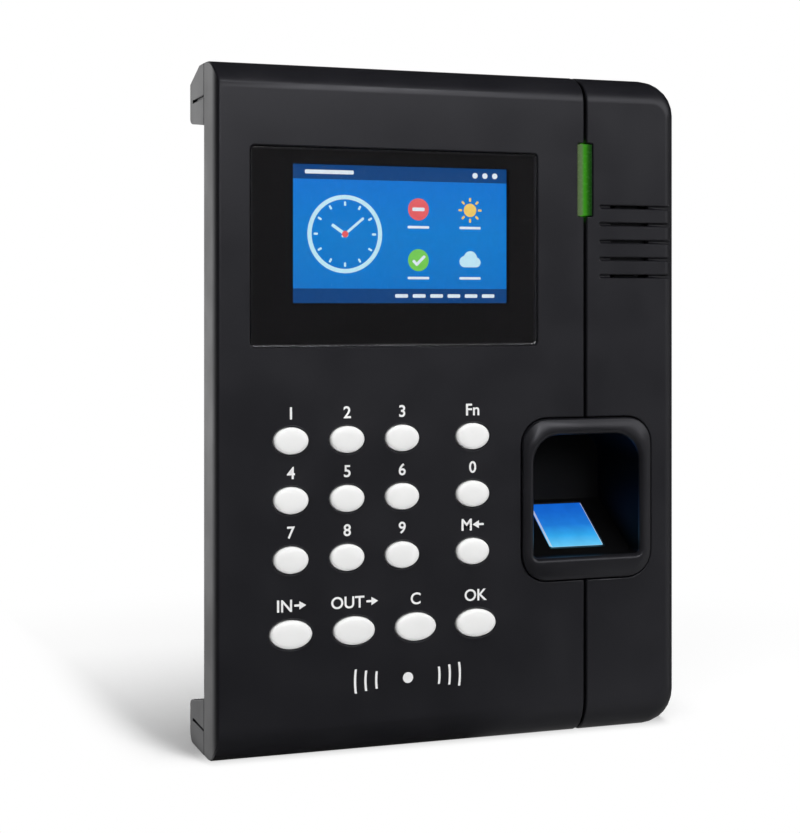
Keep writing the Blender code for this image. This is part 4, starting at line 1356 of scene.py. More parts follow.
    def dot(self, name: str, place: Span, radius: float, layer: int) -> Piece:
        """A flat disc on the page."""
        return disc(name, self.spot(place), radius * MM, self.level(layer), self.dot_outline)

    def spoke(self, name: str, place: Span, reach: Span, width: float, angle: float, layer: int) -> Piece:
        """A bar that points away from a place.

        Args:
            name: its name.
            place: what it points away from.
            reach: where it starts and ends.
            width: its width.
            angle: its angle in degrees, clockwise from the top.
            layer: how many layers it lies above the page.

        Returns:
            The bar.
        """
        middle, length = (reach[0] + reach[1]) / 2, reach[1] - reach[0]
        bar = self.tile(name, (place[0], place[1] + middle), (width, length), width * 0.3, layer)
        x, z = self.spot(place)
        return turned(bar, angle, (x, 0, z))

    def show(self, name: str, parts: Sequence[Piece], tone: Tone) -> None:
        """Joins the parts of a motif and lights them, a little paler towards the page's top.

        Args:
            name: the motif's name.
            parts: its parts.
            tone: its colour.
        """
        label, colour, share = tone.value
        paler = tuple(channel + (1 - channel) * share for channel in colour)
        stops = ((0.0, colour), (1.0, paler))
        glow = Glow(label, Axis.Z, self.active_bottom, self.active_top, stops)
        dress(join(name, parts), glow.material(), Slot.SCREEN)

    def build_page(self) -> None:
        """The lit page with a dark bar along its top and its foot."""
        page = rounded_plate(
            "screen_page",
            (self.active_left, self.page_front, self.active_bottom),
            (self.active_right, self.page_front + self.sheet + self.sheet_sunk, self.active_top),
            self.sheet_corner,
        )
        blue = Glow("screen_blue", Axis.Z, self.active_bottom, self.active_top, self.page_blue)
        dress(page, blue.material(), Slot.SCREEN)
        width = (self.active_right - self.active_left) / MM
        height = (self.active_top - self.active_bottom) / MM
        heights = {"bar_top": height - self.bar / 2, "bar_low": self.bar / 2}
        bars = [self.tile(name, (width / 2, z), (width, self.bar), 0.2, 1) for name, z in heights.items()]
        self.show("screen_bars", bars, Tone.DEEP_BLUE)

    def build_clock(self) -> None:
        """A clock dial with twelve marks and two hands."""
        inner, outer = (radius * MM for radius in self.clock_rim)
        rim = [disc("clock_rim", self.spot(self.clock), outer, self.level(1), RING_OUTLINE, inner)]
        rim += [
            self.spoke("clock_mark", self.clock, self.clock_mark, self.mark_width, 30 * hour, 1)
            for hour in range(12)
        ]
        rim += [self.spoke("clock_hand", self.clock, *hand) for hand in self.clock_hands]
        self.show("screen_clock", rim, Tone.PALE)
        self.show("screen_clock_hub", [self.dot("clock_hub", self.clock, self.clock_hub, 4)], Tone.RED)

    def build_motifs(self) -> None:
        """Four round keys with plain signs, a few captions and the marks in the two bars."""
        (left, right), (upper, lower) = self.columns, self.rows
        red = [self.dot("red_key", (left, upper), self.sign, 1)]
        yellow = [self.dot("sun", (right, upper), self.sun, 1)]
        yellow += [
            self.spoke("sun_ray", (right, upper), self.sun_ray, self.mark_width, 45 * turn, 1)
            for turn in range(8)
        ]
        green = [self.dot("green_key", (left, lower), self.sign, 1)]
        pale = [self.dot("puff", (right + x, lower + z), size, layer) for x, z, size, layer in self.puffs]
        (x, z), size = self.cloud_base
        pale.append(self.tile("cloud_base", (right + x, lower + z), size, 0.5, 3))
        tick = (left + self.tick_place[0], lower + self.tick_place[1])
        white = [self.tile("minus_sign", (left, upper), self.minus, 0.3, 2)]
        white += [self.spoke("tick_stroke", tick, *stroke) for stroke in self.tick_strokes]
        white += [
            self.tile("caption", (column, row - self.caption_drop), self.caption, 0.2, 1)
            for column in self.columns for row in self.rows
        ]
        (x, z), size = self.title
        white.append(self.tile("title", (x, z), size, 0.3, 2))
        white += [self.dot("bar_dot", (along, z), self.bar_dot, 2) for along in self.bar_dots]
        x, z = self.dash_row
        white += [
            self.tile("foot_dash", (x + self.dash_pitch * step, z), self.dash, 0.3, 2)
            for step in range(6)
        ]
        self.show("screen_red_key", red, Tone.RED)
        self.show("screen_sun", yellow, Tone.YELLOW)
        self.show("screen_green_key", green, Tone.GREEN)
        self.show("screen_cloud", pale, Tone.PALE)
        self.show("screen_white_marks", white, Tone.WHITE)


# The keypad

@dataclass(frozen=True)
class KeyLabel:
    """What is printed above one key."""

    node: str
    text: str
    arrow: ArrowWay | None = None


@dataclass
class Keypad:
    """Sixteen white key caps, the marks printed above them and the card mark below."""

    outline: int = 48
    flange_front: float = -12.5 * MM
    flange_back: float = -11.7 * MM
    flange_reach: float = 0.7 * MM
    shoulder: float = -15.7 * MM
    stem_inset: float = 1.4 * MM
    cap_angle: float = math.radians(50)
    crown_rings: tuple[Span, ...] = (
        (0.07, 0.22), (0.16, 0.24), (0.28, 0.19), (0.42, 0.12), (0.60, 0.07), (0.70, 0.03),
    )
    label_height: float = 3.3 * MM
    label_rise: float = 7.45 * MM
    wide_key: float = 12 * MM
    wide_label_rise: float = 7.8 * MM
    letter_swell: float = 0.016
    letter_depth: float = 0.05
    print_proud: float = 0.02 * MM
    print_sunk: float = 0.02 * MM
    arrow_length: float = 3.0 * MM
    arrow_gap: float = 0.6 * MM
    arrow_head: float = 1.35 * MM
    arrow_head_radius: float = 1.3 * MM
    arrow_head_proud: float = 0.002 * MM
    arrow_half: float = 0.3 * MM
    arrow_corner: float = 0.1 * MM
    arrow_neck: float = 0.7
    arrow_middle: float = 0.67
    mark: Span = (-15.6 * MM, 20.4 * MM)
    mark_dot: float = 1.5 * MM
    waves: tuple[Span, ...] = ((9.3 * MM, 2.4 * MM), (12.4 * MM, 2.8 * MM), (15.4 * MM, 3.3 * MM))
    wave_half_width: float = 0.32 * MM
    wave_radius: float = 7.0
    wave_cuts: int = 11

    labels: tuple[KeyLabel, ...] = (
        *(KeyLabel(f"key_{digit}", digit) for digit in "123"),
        KeyLabel("key_fn", "Fn"),
        *(KeyLabel(f"key_{digit}", digit) for digit in "4560789"),
        KeyLabel("key_menu", "M", ArrowWay.LEFT),
        KeyLabel("key_in", "IN", ArrowWay.RIGHT),
        KeyLabel("key_out", "OUT", ArrowWay.RIGHT),
        KeyLabel("key_clear", "C"),
        KeyLabel("key_ok", "OK"),
    )

    @property
    def print_span(self) -> Span:
        """The Y of the front and back of the print on the cover."""
        return FACE_Y - self.print_proud, FACE_Y + self.print_sunk

    def build(self) -> None:
        """Builds and dresses the caps, the labels and the card mark."""
        masters: dict[float, Piece] = {}
        prints = []
        for label in self.labels:
            low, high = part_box(label.node)
            self.build_cap(label.node, low, high, masters)
            rise = self.wide_label_rise if high.x - low.x > self.wide_key else self.label_rise
            prints += self.build_label(label, (low.x + high.x) / 2, (low.z + high.z) / 2 + rise)
        dress(join("key_labels", prints), WHITE_INK.material())
        dress(self.build_card_mark(), WHITE_INK.material())

    def build_cap(self, node: str, low: Vector, high: Vector, masters: dict[float, Piece]) -> None:
        """One cap: the master of its size is modelled once, and then copied.

        Args:
            node: the key's CAD node.
            low: the node's lowest corner.
            high: the node's highest corner.
            masters: the masters made so far, by width.
        """
        width = round((high.x - low.x) / MM, 1)
        source = masters.get(width)
        if source is None:
            cap = masters[width] = self.model_cap(node, low, high)
        else:
            cap = copied(source, f"{node}_cap")
            first_low, first_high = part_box(source["stands_for"])
            cap.location = (low + high) / 2 - (first_low + first_high) / 2
            settle(cap)
        cap["stands_for"] = node
        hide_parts(node)
        dress(cap, WHITE_KEY.material(), Slot.KEY, node)

    def model_cap(self, node: str, low: Vector, high: Vector) -> Piece:
        """Models a cap from a cylinder: crowned front, skirt, flange and stem.

        Args:
            node: the key's CAD node.
            low: the node's lowest corner.
            high: the node's highest corner.

        Returns:
            The cap.
        """
        reach = self.flange_reach
        half_width = (high.x - low.x) / 2 - reach
        half_height = (high.z - low.z) / 2 - reach
        x, z = (low.x + high.x) / 2, (low.z + high.z) / 2
        fresh()
        middle = (self.shoulder + self.flange_front) / 2
        bpy.ops.mesh.primitive_cylinder_add(
            vertices=self.outline, radius=1, depth=self.flange_front - self.shoulder,
            location=(x, middle, z), rotation=FACING_FRONT,
        )
        cap = named(f"{node}_cap")
        cap.scale = (half_width, half_height, 1)
        settle(cap)
        edit(cap, "FACE", lies_at(Axis.Y, self.shoulder))
        for thickness, rise in self.crown_rings:
            bpy.ops.mesh.inset(thickness=thickness * MM, depth=rise * MM)
        done()
        edit(cap, "FACE", lies_at(Axis.Y, self.flange_front))
        wide = ((half_width + reach) / half_width, 1, (half_height + reach) / half_height)
        pull(0)
        bpy.ops.transform.resize(value=wide, center_override=(x, self.flange_front, z))
        pull(self.flange_back - self.flange_front)
        bpy.ops.mesh.inset(thickness=self.stem_inset, depth=0)
        pull(high.y - self.flange_back)
        done()
        return smooth(cap, self.cap_angle)

    def build_label(self, label: KeyLabel, x: float, z: float) -> list[Piece]:
        """The text above a key and its arrow.

        Args:
            label: what is printed.
            x: the centre along X.
            z: the centre along Z.

        Returns:
            The printed pieces.
        """
        fresh()
        bpy.ops.object.text_add(location=(0, 0, 0))
        text = bpy.context.view_layer.objects.active
        text.data.body = label.text
        text.data.align_x = "CENTER"
        text.data.align_y = "CENTER"
        text.data.offset = self.letter_swell
        text.data.extrude = self.letter_depth
        bpy.ops.object.convert(target="MESH")
        piece = named(f"label_{label.node}")
        size = piece.dimensions.copy()
        scale = self.label_height / size.y
        if label.arrow is not None:
            x -= (self.arrow_gap + self.arrow_length) / 2
        corners = [Vector(corner) for corner in piece.bound_box]
        middle = sum(corners, Vector()) / len(corners)
        front, back = self.print_span
        piece.scale = (scale, scale, (back - front) / size.z)
        piece.rotation_euler = FACING_FRONT
        piece.location = (x - middle.x * scale, (front + back) / 2, z - middle.y * scale)
        pieces = [mend(settle(piece))]
        if label.arrow is not None:
            pieces += self.build_arrow(label, x + size.x * scale / 2 + self.arrow_gap, z)
        return pieces

    def build_arrow(self, label: KeyLabel, start: float, z: float) -> list[Piece]:
        """A small printed arrow, as a shaft and a head.

        Args:
            label: the label it belongs to.
            start: its left end along X.
            z: its centre along Z.

        Returns:
            The shaft and the head.
        """
        front, back = self.print_span
        way = label.arrow.value
        tail, tip = (start, start + self.arrow_length)[::way]
        low, high = sorted((tail, tip - way * self.arrow_head * self.arrow_neck))
        shaft = rounded_plate(
            f"arrow_shaft_{label.node}",
            (low, front, z - self.arrow_half),
            (high, back, z + self.arrow_half),
            self.arrow_corner, 0, 2,
        )
        centre = (tip - way * self.arrow_head * self.arrow_middle, z)
        span = (front - self.arrow_head_proud, back)
        head = disc(f"arrow_head_{label.node}", centre, self.arrow_head_radius, span, 3)
        return [shaft, turned(head, 90 * way, (centre[0], 0, z))]

    def build_card_mark(self) -> Piece:
        """A dot between two sets of three upright waves, where a card is held.

        Returns:
            The mark.
        """
        parts = [disc("card_dot", self.mark, self.mark_dot, self.print_span)]
        parts += [self.build_wave(side, *wave) for side in (-1, 1) for wave in self.waves]
        return join("card_mark", parts)

    def build_wave(self, side: int, reach: float, half_height: float) -> Piece:
        """One upright wave of the card mark, bowed round a far centre.

        Args:
            side: which side of the dot, as a sign along X.
            reach: how far it stands from the dot.
            half_height: half its height.

        Returns:
            The wave.
        """
        radius = self.wave_radius * half_height
        half_turn = math.asin(half_height / radius)
        (front, back), (middle, z) = self.print_span, self.mark
        x = middle + side * reach
        wave = block(
            "card_wave",
            (x - self.wave_half_width, front, z - half_height),
            (x + self.wave_half_width, back, z + half_height),
        )
        edit(wave, "EDGE", runs_along(Axis.Z))
        bpy.ops.mesh.subdivide(number_cuts=self.wave_cuts)

        def bow(vert: Vert) -> None:
            """Moves a point inwards, the more the nearer to an end."""
            share = (vert.co.z - z) / half_height
            vert.co.x -= side * radius * (1 - math.cos(half_turn * share))

        move_points(wave, bow)
        done()
        return smooth(wave)


# The finger reader

@dataclass
class FingerReader:
    """The bezel with its deep well, and the platen in it, whose glow is the light of the sensor's own lamp
    painted into the glass.
    """

    edge_round: float = 0.2 * MM
    mouth_round: float = 1.3 * MM
    mouth_reach: Span = (18.2 * MM, 19.5 * MM)
    platen_round: float = 0.4 * MM
    well_start: float = -13.5 * MM
    glass_body: Colour = (0.002, 0.006, 0.02)
    # The rim's paler colour and the faces that take it: a painted highlight on the platen's rounded edges.
    rim_highlight_tint: Span = (0.45, 0.42)
    rim_highlight_facing: Span = (0.2, 0.97)
    # The platen's painted glow, standing in for the sensor's lamp, which is not modelled.
    glass_stops: Stops = (
        (0.0, (0.14, 0.60, 0.93)),
        (0.25, (0.035, 0.40, 0.86)),
        (0.5, (0.014, 0.20, 0.70)),
        (0.8, (0.008, 0.135, 0.62)),
        (1.0, (0.005, 0.12, 0.60)),
    )

    def build(self) -> None:
        """Builds and dresses the bezel and the platen."""
        self.build_bezel()
        self.build_platen()

    def round_mouth(self, bezel: Piece) -> None:
        """Rounds the front edge of the well's mouth.

        Args:
            bezel: the copy of the bezel.
        """
        low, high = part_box("sensor_bezel")
        middle = (low + high) / 2

        def in_mouth(at: Vector) -> bool:
            """Whether a point lies in front, within the mouth's reach."""
            across = abs(at.x - middle.x) < self.mouth_reach[0]
            return across and abs(at.z - middle.z) < self.mouth_reach[1] and abs(at.y - low.y) < NEAR

        def at_mouth(edge: Edge) -> bool:
            """Whether an edge lies in front, within the mouth's reach."""
            return all(in_mouth(vert.co) for vert in edge.verts)

        round_edges(bezel, at_mouth, self.mouth_round, 4)

    def build_bezel(self) -> None:
        """The bezel, satin in front and matt in the well."""
        bezel = softened("sensor_bezel", "reader_bezel", self.edge_round, shape=self.round_mouth)
        dress(bezel, SATIN_BLACK.material(), Slot.SATIN)
        bezel.data.materials.append(WELL_BLACK.material())
        for face in bezel.data.polygons:
            face.material_index = int(face.center.y > self.well_start)

    def build_platen(self) -> None:
        """The glass with the sensor lamp's light painted into it, pale cyan at its foot and deep blue at
        its top, and a painted highlight on its rounded edges.
        """
        platen = softened("sensor_prism", "reader_platen", self.platen_round, 3)
        low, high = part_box("sensor_prism")
        # A paler copy of the glow's stops, painted on the sloped rim faces as a highlight.
        share, lift = self.rim_highlight_tint
        pale = tuple(
            (place, tuple(share * channel + lift for channel in colour))
            for place, colour in self.glass_stops
        )
        glass, rim = (
            Glow(
                name, Axis.Z, low.z, high.z, stops,
                body=self.glass_body, roughness=0.12, unevenness=0.10, cell=250.0,
            ).material()
            for name, stops in (("platen_blue", self.glass_stops), ("platen_rim_highlight", pale))
        )
        dress(platen, glass, Slot.PLATEN)
        platen.data.materials.append(rim)
        slope = Vector((0, low.z - high.z, high.y - low.y)).normalized()
        for face in platen.data.polygons:
            face.material_index = int(self.rim_highlight_facing[0] < face.normal.dot(slope) < self.rim_highlight_facing[1])


# The status light

@dataclass
class StatusLight:
    """The green light pipe beside the screen, bright towards its left and dim at its right, with a pale
    grey strip at its left end that is a painted reflection.
    """

    edge_round: float = 0.15 * MM
    margin: float = 1.5 * MM
    body: Colour = (0.004, 0.02, 0.003)
    # The first two stops paint a pale grey strip at the pipe's left end: a painted reflection, not the
    # lamp's own colour.
    stops: Stops = (
        (0.0, (0.09, 0.13, 0.06)),
        (0.2, (0.09, 0.16, 0.06)),
        (0.38, (0.035, 0.24, 0.008)),
        (0.5, (0.028, 0.20, 0.005)),
        (0.68, (0.010, 0.075, 0.002)),
        (0.84, (0.003, 0.028, 0.001)),
        (1.0, (0.001, 0.008, 0.001)),
    )

    def build(self) -> None:
        """Builds and dresses the pipe."""
        pipe = softened("led_light_pipe", "status_light_pipe", self.edge_round)
        low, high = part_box("led_light_pipe")
        left, right = low.x + self.margin, high.x - self.margin
        glow = Glow("status_green", Axis.X, left, right, self.stops, body=self.body, roughness=0.25)
        dress(pipe, glow.material(), Slot.LAMP)


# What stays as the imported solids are, with finishes of their own

@dataclass
class InnerWorks:
    """The boards, connectors, cables and small hardware."""

    edge: float = 0.15 * MM
    at_the_back: tuple[str, ...] = (
        "wall_bracket", "ethernet_jack", "usb_port", "terminal_block", "power_jack",
    )

    def build(self) -> None:
        """Dresses every solid that no other piece stands for."""
        for node, finish, slot in self.finishes():
            dress(frame["nodes"][node], finish.material(), slot)
        screws = [f"housing_screw_{step}" for step in range(1, 5)]
        for node in (*self.at_the_back, *screws, "lock_screw"):
            self.soften(node)

    def soften(self, node: str) -> None:
        """Puts a copy with softened edges in a visible solid's place.

        Args:
            node: the solid's node.
        """
        source = frame["nodes"][node]
        piece = softened(node, f"{node}_piece", self.edge)
        dress(piece, source.data.materials[0], Slot(source["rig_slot"]))

    def finishes(self) -> list[tuple[str, Finish, Slot]]:
        """The finish and slot of each solid.

        Returns:
            A node, its finish and its slot, for each solid.
        """
        boards = ("led_board", "sensor_board", "keypad_board", "antenna_board", "main_board")
        screws = [f"{kind}_screw_{step}" for kind in ("board", "housing") for step in range(1, 5)]
        plated = ("wall_bracket", "lcd_frame", "ethernet_jack", "usb_port", "coin_cell")
        groups = (
            (BOARD_GREEN, Slot.BOARD, boards),
            (SCREW_STEEL, Slot.STEEL, (*screws, "lock_screw")),
            (ZINC_STEEL, Slot.STEEL, plated),
            (GREY_JACKET, Slot.CABLE, ("lcd_ribbon", "sensor_cable", "keypad_ribbon")),
            (SATIN_BLACK, Slot.SATIN, ("speaker", "power_jack", "battery_holder")),
            (BACK_PRINT, Slot.SCREEN, ("lcd_panel",)),
            (MILKY_GUIDE, Slot.GUIDE, ("lcd_backlight",)),
            (BLACK_ABS, Slot.SHELL, ("sensor_optics",)),
            (GREY_RUBBER, Slot.SILICONE, ("key_mat",)),
            (GREEN_NYLON, Slot.TERMINALS, ("terminal_block",)),
            (BLUE_CASE, Slot.RELAY, ("relay",)),
        )
        return [(node, finish, slot) for finish, slot, nodes in groups for node in nodes]


# What shows in the sockets at the back

@dataclass
class Sockets:
    """The network socket's comb and contacts, the data socket's tongue, the clamps and the power pin."""

    wall: float = 1.0 * MM
    slack: float = 0.05 * MM
    soft: float = 0.2 * MM
    comb_drop: float = 2.2 * MM
    comb_reach: float = 6.5 * MM
    contacts: int = 8
    contact_pitch: float = 1.02 * MM
    contact_width: float = 0.45 * MM
    contact_thickness: float = 0.25 * MM
    contact_reach: Span = (1.0 * MM, 9.5 * MM)
    contact_drop: float = 3.0 * MM
    contact_cuts: int = 6
    tongue_half: Span = (5.6 * MM, 0.9 * MM)
    tongue_rise: float = 0.5 * MM
    tongue_gap: float = 1.6 * MM
    pads: int = 4
    pad_pitch: float = 2.5 * MM
    pad_size: Span = (1.3 * MM, 7.5 * MM)
    clamps: int = 5
    clamp_pitch: float = 3.81 * MM
    clamp_radii: Span = (0.55 * MM, 1.15 * MM)
    pin_radius: float = 1.1 * MM

    def build(self) -> None:
        """Builds and dresses what is in each socket."""
        self.build_network()
        self.build_data()
        self.build_clamps()
        self.dress_pin()

    def soft_block(self, name: str, low: Sequence[float], high: Sequence[float]) -> Piece:
        """A block with all its edges softened.

        Args:
            name: the block's name.
            low: its lowest corner.
            high: its highest corner.

        Returns:
            The block.
        """
        piece = block(name, low, high)
        round_edges(piece, lambda edge: True, self.soft, 2)
        return level_normals(smooth(piece))

    def row(self, piece: Piece, count: int, pitch: float) -> list[Piece]:
        """A piece and its copies, side by side along X about the first one's place.

        Args:
            piece: the piece, modelled in the middle of the row.
            count: how many there are.
            pitch: the step between them.

        Returns:
            All of them.
        """
        pieces = [piece] + [copied(piece, f"{piece.name}_{step}") for step in range(1, count)]
        for step, one in enumerate(pieces):
            one.location.x = (step - (count - 1) / 2) * pitch
            settle(one)
        return pieces

    def build_network(self) -> None:
        """A dark liner and comb, with gold wires that slope out of it."""
        low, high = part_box("ethernet_jack")
        inner = self.wall + self.slack
        floor, middle = low.y + self.wall, (low.x + high.x) / 2
        roof = high.z - inner
        liner = self.soft_block(
            "network_liner",
            (low.x + inner, floor + self.slack, low.z + inner),
            (high.x - inner, floor + self.wall, roof),
        )
        half = self.contacts * self.contact_pitch / 2
        under = roof - self.comb_drop
        comb = self.soft_block(
            "network_comb",
            (middle - half - self.soft, floor + self.wall / 2, under),
            (middle + half + self.soft, floor + self.comb_reach, roof),
        )
        dress(join("network_comb", [comb, liner]), SATIN_BLACK.material(), Slot.SATIN)
        near, far = (floor + reach for reach in self.contact_reach)
        top = under + self.contact_thickness / 2
        half = self.contact_width / 2
        wire = block(
            "network_contacts",
            (middle - half, near, top - self.contact_thickness),
            (middle + half, far, top),
        )
        edit(wire, "EDGE", runs_along(Axis.Y))
        bpy.ops.mesh.subdivide(number_cuts=self.contact_cuts)

        def slope(vert: Vert) -> None:
            """Lowers a point, the more the nearer to the mouth."""
            share = (vert.co.y - near) / (far - near)
            vert.co.z -= self.contact_drop * share ** 2

        move_points(wire, slope)
        done()
        wires = self.row(smooth(wire), self.contacts, self.contact_pitch)
        dress(join("network_contacts", wires), GOLD_CONTACT.material())

    def build_data(self) -> None:
        """A pale tongue with four gold pads under it."""
        low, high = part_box("usb_port")
        middle = (low + high) / 2
        floor, mouth = low.y + self.wall, high.y - self.tongue_gap
        half_x, half_z = self.tongue_half
        z = middle.z + self.tongue_rise
        tongue = self.soft_block(
            "data_tongue",
            (middle.x - half_x, floor + self.slack, z - half_z),
            (middle.x + half_x, mouth, z + half_z),
        )
        dress(tongue, WHITE_KEY.material(), Slot.KEY)
        width, length = self.pad_size
        pad = self.soft_block(
            "data_pads",
            (middle.x - width / 2, mouth - self.wall - length, z - half_z - self.soft),
            (middle.x + width / 2, mouth - self.wall, z - half_z + self.soft),
        )
        dress(join("data_pads", self.row(pad, self.pads, self.pad_pitch)), GOLD_CONTACT.material())

    def build_clamps(self) -> None:
        """A plated wire clamp at the bottom of each terminal's hole."""
        low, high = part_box("terminal_block")
        middle = (low + high) / 2
        floor = low.y + self.wall
        hole, radius = self.clamp_radii
        span = (floor + self.slack, floor + self.wall)
        clamp = disc("wire_clamps", (middle.x, middle.z), radius, span, RING_OUTLINE, hole)
        clamps = self.row(clamp, self.clamps, self.clamp_pitch)
        dress(join("wire_clamps", clamps), SCREW_STEEL.material(), Slot.STEEL)

    def dress_pin(self) -> None:
        """Gives the power socket's middle pin a plated finish."""
        low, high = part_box("power_jack")
        middle = (low + high) / 2
        jack = bpy.data.objects["power_jack_piece"]
        jack.data.materials.append(SCREW_STEEL.material())
        for face in jack.data.polygons:
            away = math.hypot(face.center.x - middle.x, face.center.z - middle.z)
            face.material_index = int(away < self.pin_radius)


# The studio

@dataclass(frozen=True)
class Lamp:
    """A rectangular soft light that looks at the object's middle and that gloss doesn't show.

    Its azimuth is to the right of straight ahead of the face, in degrees, as its elevation is.
    """

    name: str
    azimuth: float
    elevation: float
    distance: float
    width: float
    height: float
    power: float


@dataclass(frozen=True)
class GlossBand:
    """A bright band across the front, which only gloss shows.

    Its limits are heights of a ray's direction, each with the way it fades in or out.
    """

    low: Span
    high: Span
    level: float


@dataclass
class Studio:
    """A pale floor, a white surround, soft lamps and the camera."""

    floor_half: float = 6.0
    floor_drop: float = 0.1 * MM
    floor_albedo: float = 0.78
    floor_speckle: float = 900.0
    speckle_depth: float = 0.01
    floor_lift: float = 0.21
    floor_shadow_in_reflection: float = 0.56
    floor_near: Span = (0.12, 0.55)
    floor_front: Span = (0.0, -0.03)
    floor_fade: Span = (0.085, 0.28)
    front_fade: Span = (0.006, -0.018)
    left_fade: Span = (-0.077, -0.098)
    ambient: float = 0.20
    front_gloss: float = 0.06
    turn_to_white: Span = (0.71, 0.95)
    behind_level: float = 1.12
    flag_way: Triple = (0.75, 0.66, 0.05)
    flag_reach: Span = (0.55, 0.75)
    panel_way: Triple = (0.72, -0.604, 0.342)
    panel_reach: Span = (0.93, 0.99)
    panel_level: float = 1.0
    top_reach: Span = (0.1, 0.6)
    top_gloss: float = 0.25
    bands: tuple[GlossBand, ...] = (
        GlossBand((0.14, 0.26), (0.48, 0.62), 7.2),
        GlossBand((0.38, 0.48), (0.60, 0.70), 4.4),
    )
    band_front: Span = (0.1, -0.3)
    band_left: Span = (-0.04, 0.22)
    band_right: Span = (0.14, 0.32)
    band_rest: float = 0.12
    side_start: Span = (0.38, 1.0)
    side_end: Span = (-0.1, 0.18)
    side_level: float = 0.32
    target: Triple = (0.0, 0.0, 0.10)
    camera_place: Triple = (-0.175451, -0.464724, 0.12358)
    camera_turn: float = -19.317
    sensor: float = 36.0
    lens: float = 74.43
    shift_y: float = -0.1339
    clip: Span = (0.01, 50.0)
    lamps: tuple[Lamp, ...] = (
        Lamp("key_strip", 12.8, 72.0, 1.3, 0.18, 0.8, 15.0),
        Lamp("front_softbox", -9.0, 24.0, 1.3, 1.9, 0.5, 8.4),
    )

    def build(self) -> None:
        """Sets up everything round the object."""
        self.build_floor()
        self.build_world()
        for lamp in self.lamps:
            self.hang(lamp)
        self.place_camera()

    def surround(self, bench: NodeBench, way: Socket) -> Socket:
        """How bright the surround is for a mirrored ray.

        It is dim in front, white behind, held dark by a flag behind on the right, and has a pale panel
        in front on the right.

        Args:
            bench: the bench of the tree.
            way: the direction of the ray.

        Returns:
            The socket of the brightness.
        """
        dim = self.front_gloss
        x, y, _ = bench.split(way)
        behind = bench.between(y, self.turn_to_white, (dim, self.behind_level), Curve.STRAIGHT)
        to_flag = bench.vector("DOT_PRODUCT", {0: way, 1: self.flag_way})
        flag = bench.between(to_flag, self.flag_reach, (1.0, dim))
        to_panel = bench.vector("DOT_PRODUCT", {0: way, 1: self.panel_way})
        panel = bench.between(to_panel, self.panel_reach, (0.0, self.panel_level))
        side = bench.math(
            "MULTIPLY",
            bench.between(x, self.side_start, (0.0, self.side_level), Curve.STRAIGHT),
            bench.between(y, self.side_end, (1.0, 0.0)),
        )
        kept = bench.math("MULTIPLY", behind, flag)
        return bench.math("ADD", bench.math("ADD", kept, panel), side)

    def with_bands(self, bench: NodeBench, way: Socket, around: Socket) -> Socket:
        """Adds the bright bands high up in front, which end on the left and grow dimmer to the right.

        Args:
            bench: the bench of the tree.
            way: the direction of the ray.
            around: the brightness without the bands.

        Returns:
            The socket of the brightness with them.
        """
        x, y, z = bench.split(way)
        left = bench.between(x, self.band_left, (0.0, 1.0))
        right = bench.between(x, self.band_right, (1.0, self.band_rest))
        front = bench.between(y, self.band_front, (0.0, 1.0))
        reach = bench.math("MULTIPLY", bench.math("MULTIPLY", left, right), front)
        total = around
        for band in self.bands:
            low = bench.between(z, band.low, (0.0, band.level))
            high = bench.between(z, band.high, (1.0, 0.0))
            total = bench.math("MULTIPLY_ADD", bench.math("MULTIPLY", low, high), reach, total)
        return total

    def mirrored(self, bench: NodeBench, path: Node) -> Socket:
        """Whether a ray has come off or through a shiny surface.

        Args:
            bench: the bench of the tree.
            path: the tree's light path node.

        Returns:
            The socket that says so.
        """
        return bench.math("MAXIMUM", path.outputs["Is Glossy Ray"], path.outputs["Is Transmission Ray"])

    def from_foot(self, bench: NodeBench, place: Socket) -> Socket:
        """The direction of a place on the floor, from the left wall's foot if it lies left of it.

        Any other place is seen from the object's middle.

        Args:
            bench: the bench of the tree.
            place: the place on the floor.

        Returns:
            The socket of the direction.
        """
        corner = CAD_BOX[0]
        left = bench.math("LESS_THAN", bench.split(place)[Axis.X.value], corner[0])
        foot = bench.vector("SCALE", {0: (corner[0], corner[1], 0.0), "Scale": left})
        return bench.vector("NORMALIZE", {0: bench.vector("SUBTRACT", {0: place, 1: foot})})

    def build_floor(self) -> None:
        """The pale floor, which keeps the shadow and fades to white far off and in front. In reflections
        it glows as bright as the surround seen from the left wall's foot, painted darker near the object
        as its shadow.
        """
        fresh()
        bpy.ops.mesh.primitive_plane_add(size=2 * self.floor_half, location=(0, 0, -self.floor_drop))
        floor = settle(named("floor"))
        material, bench = new_material("pale_floor")
        place = bench.place()
        away = bench.vector("LENGTH", {0: place})
        aside, depth, _ = bench.split(place)
        far = bench.between(away, self.floor_fade, (0.0, 1.0))
        far = bench.math("MAXIMUM", far, bench.between(depth, self.front_fade, (0.0, 1.0)))
        far = bench.math("MAXIMUM", far, bench.between(aside, self.left_fade, (0.0, 1.0)))
        path = bench.add("ShaderNodeLightPath")
        mirrored = self.mirrored(bench, path)
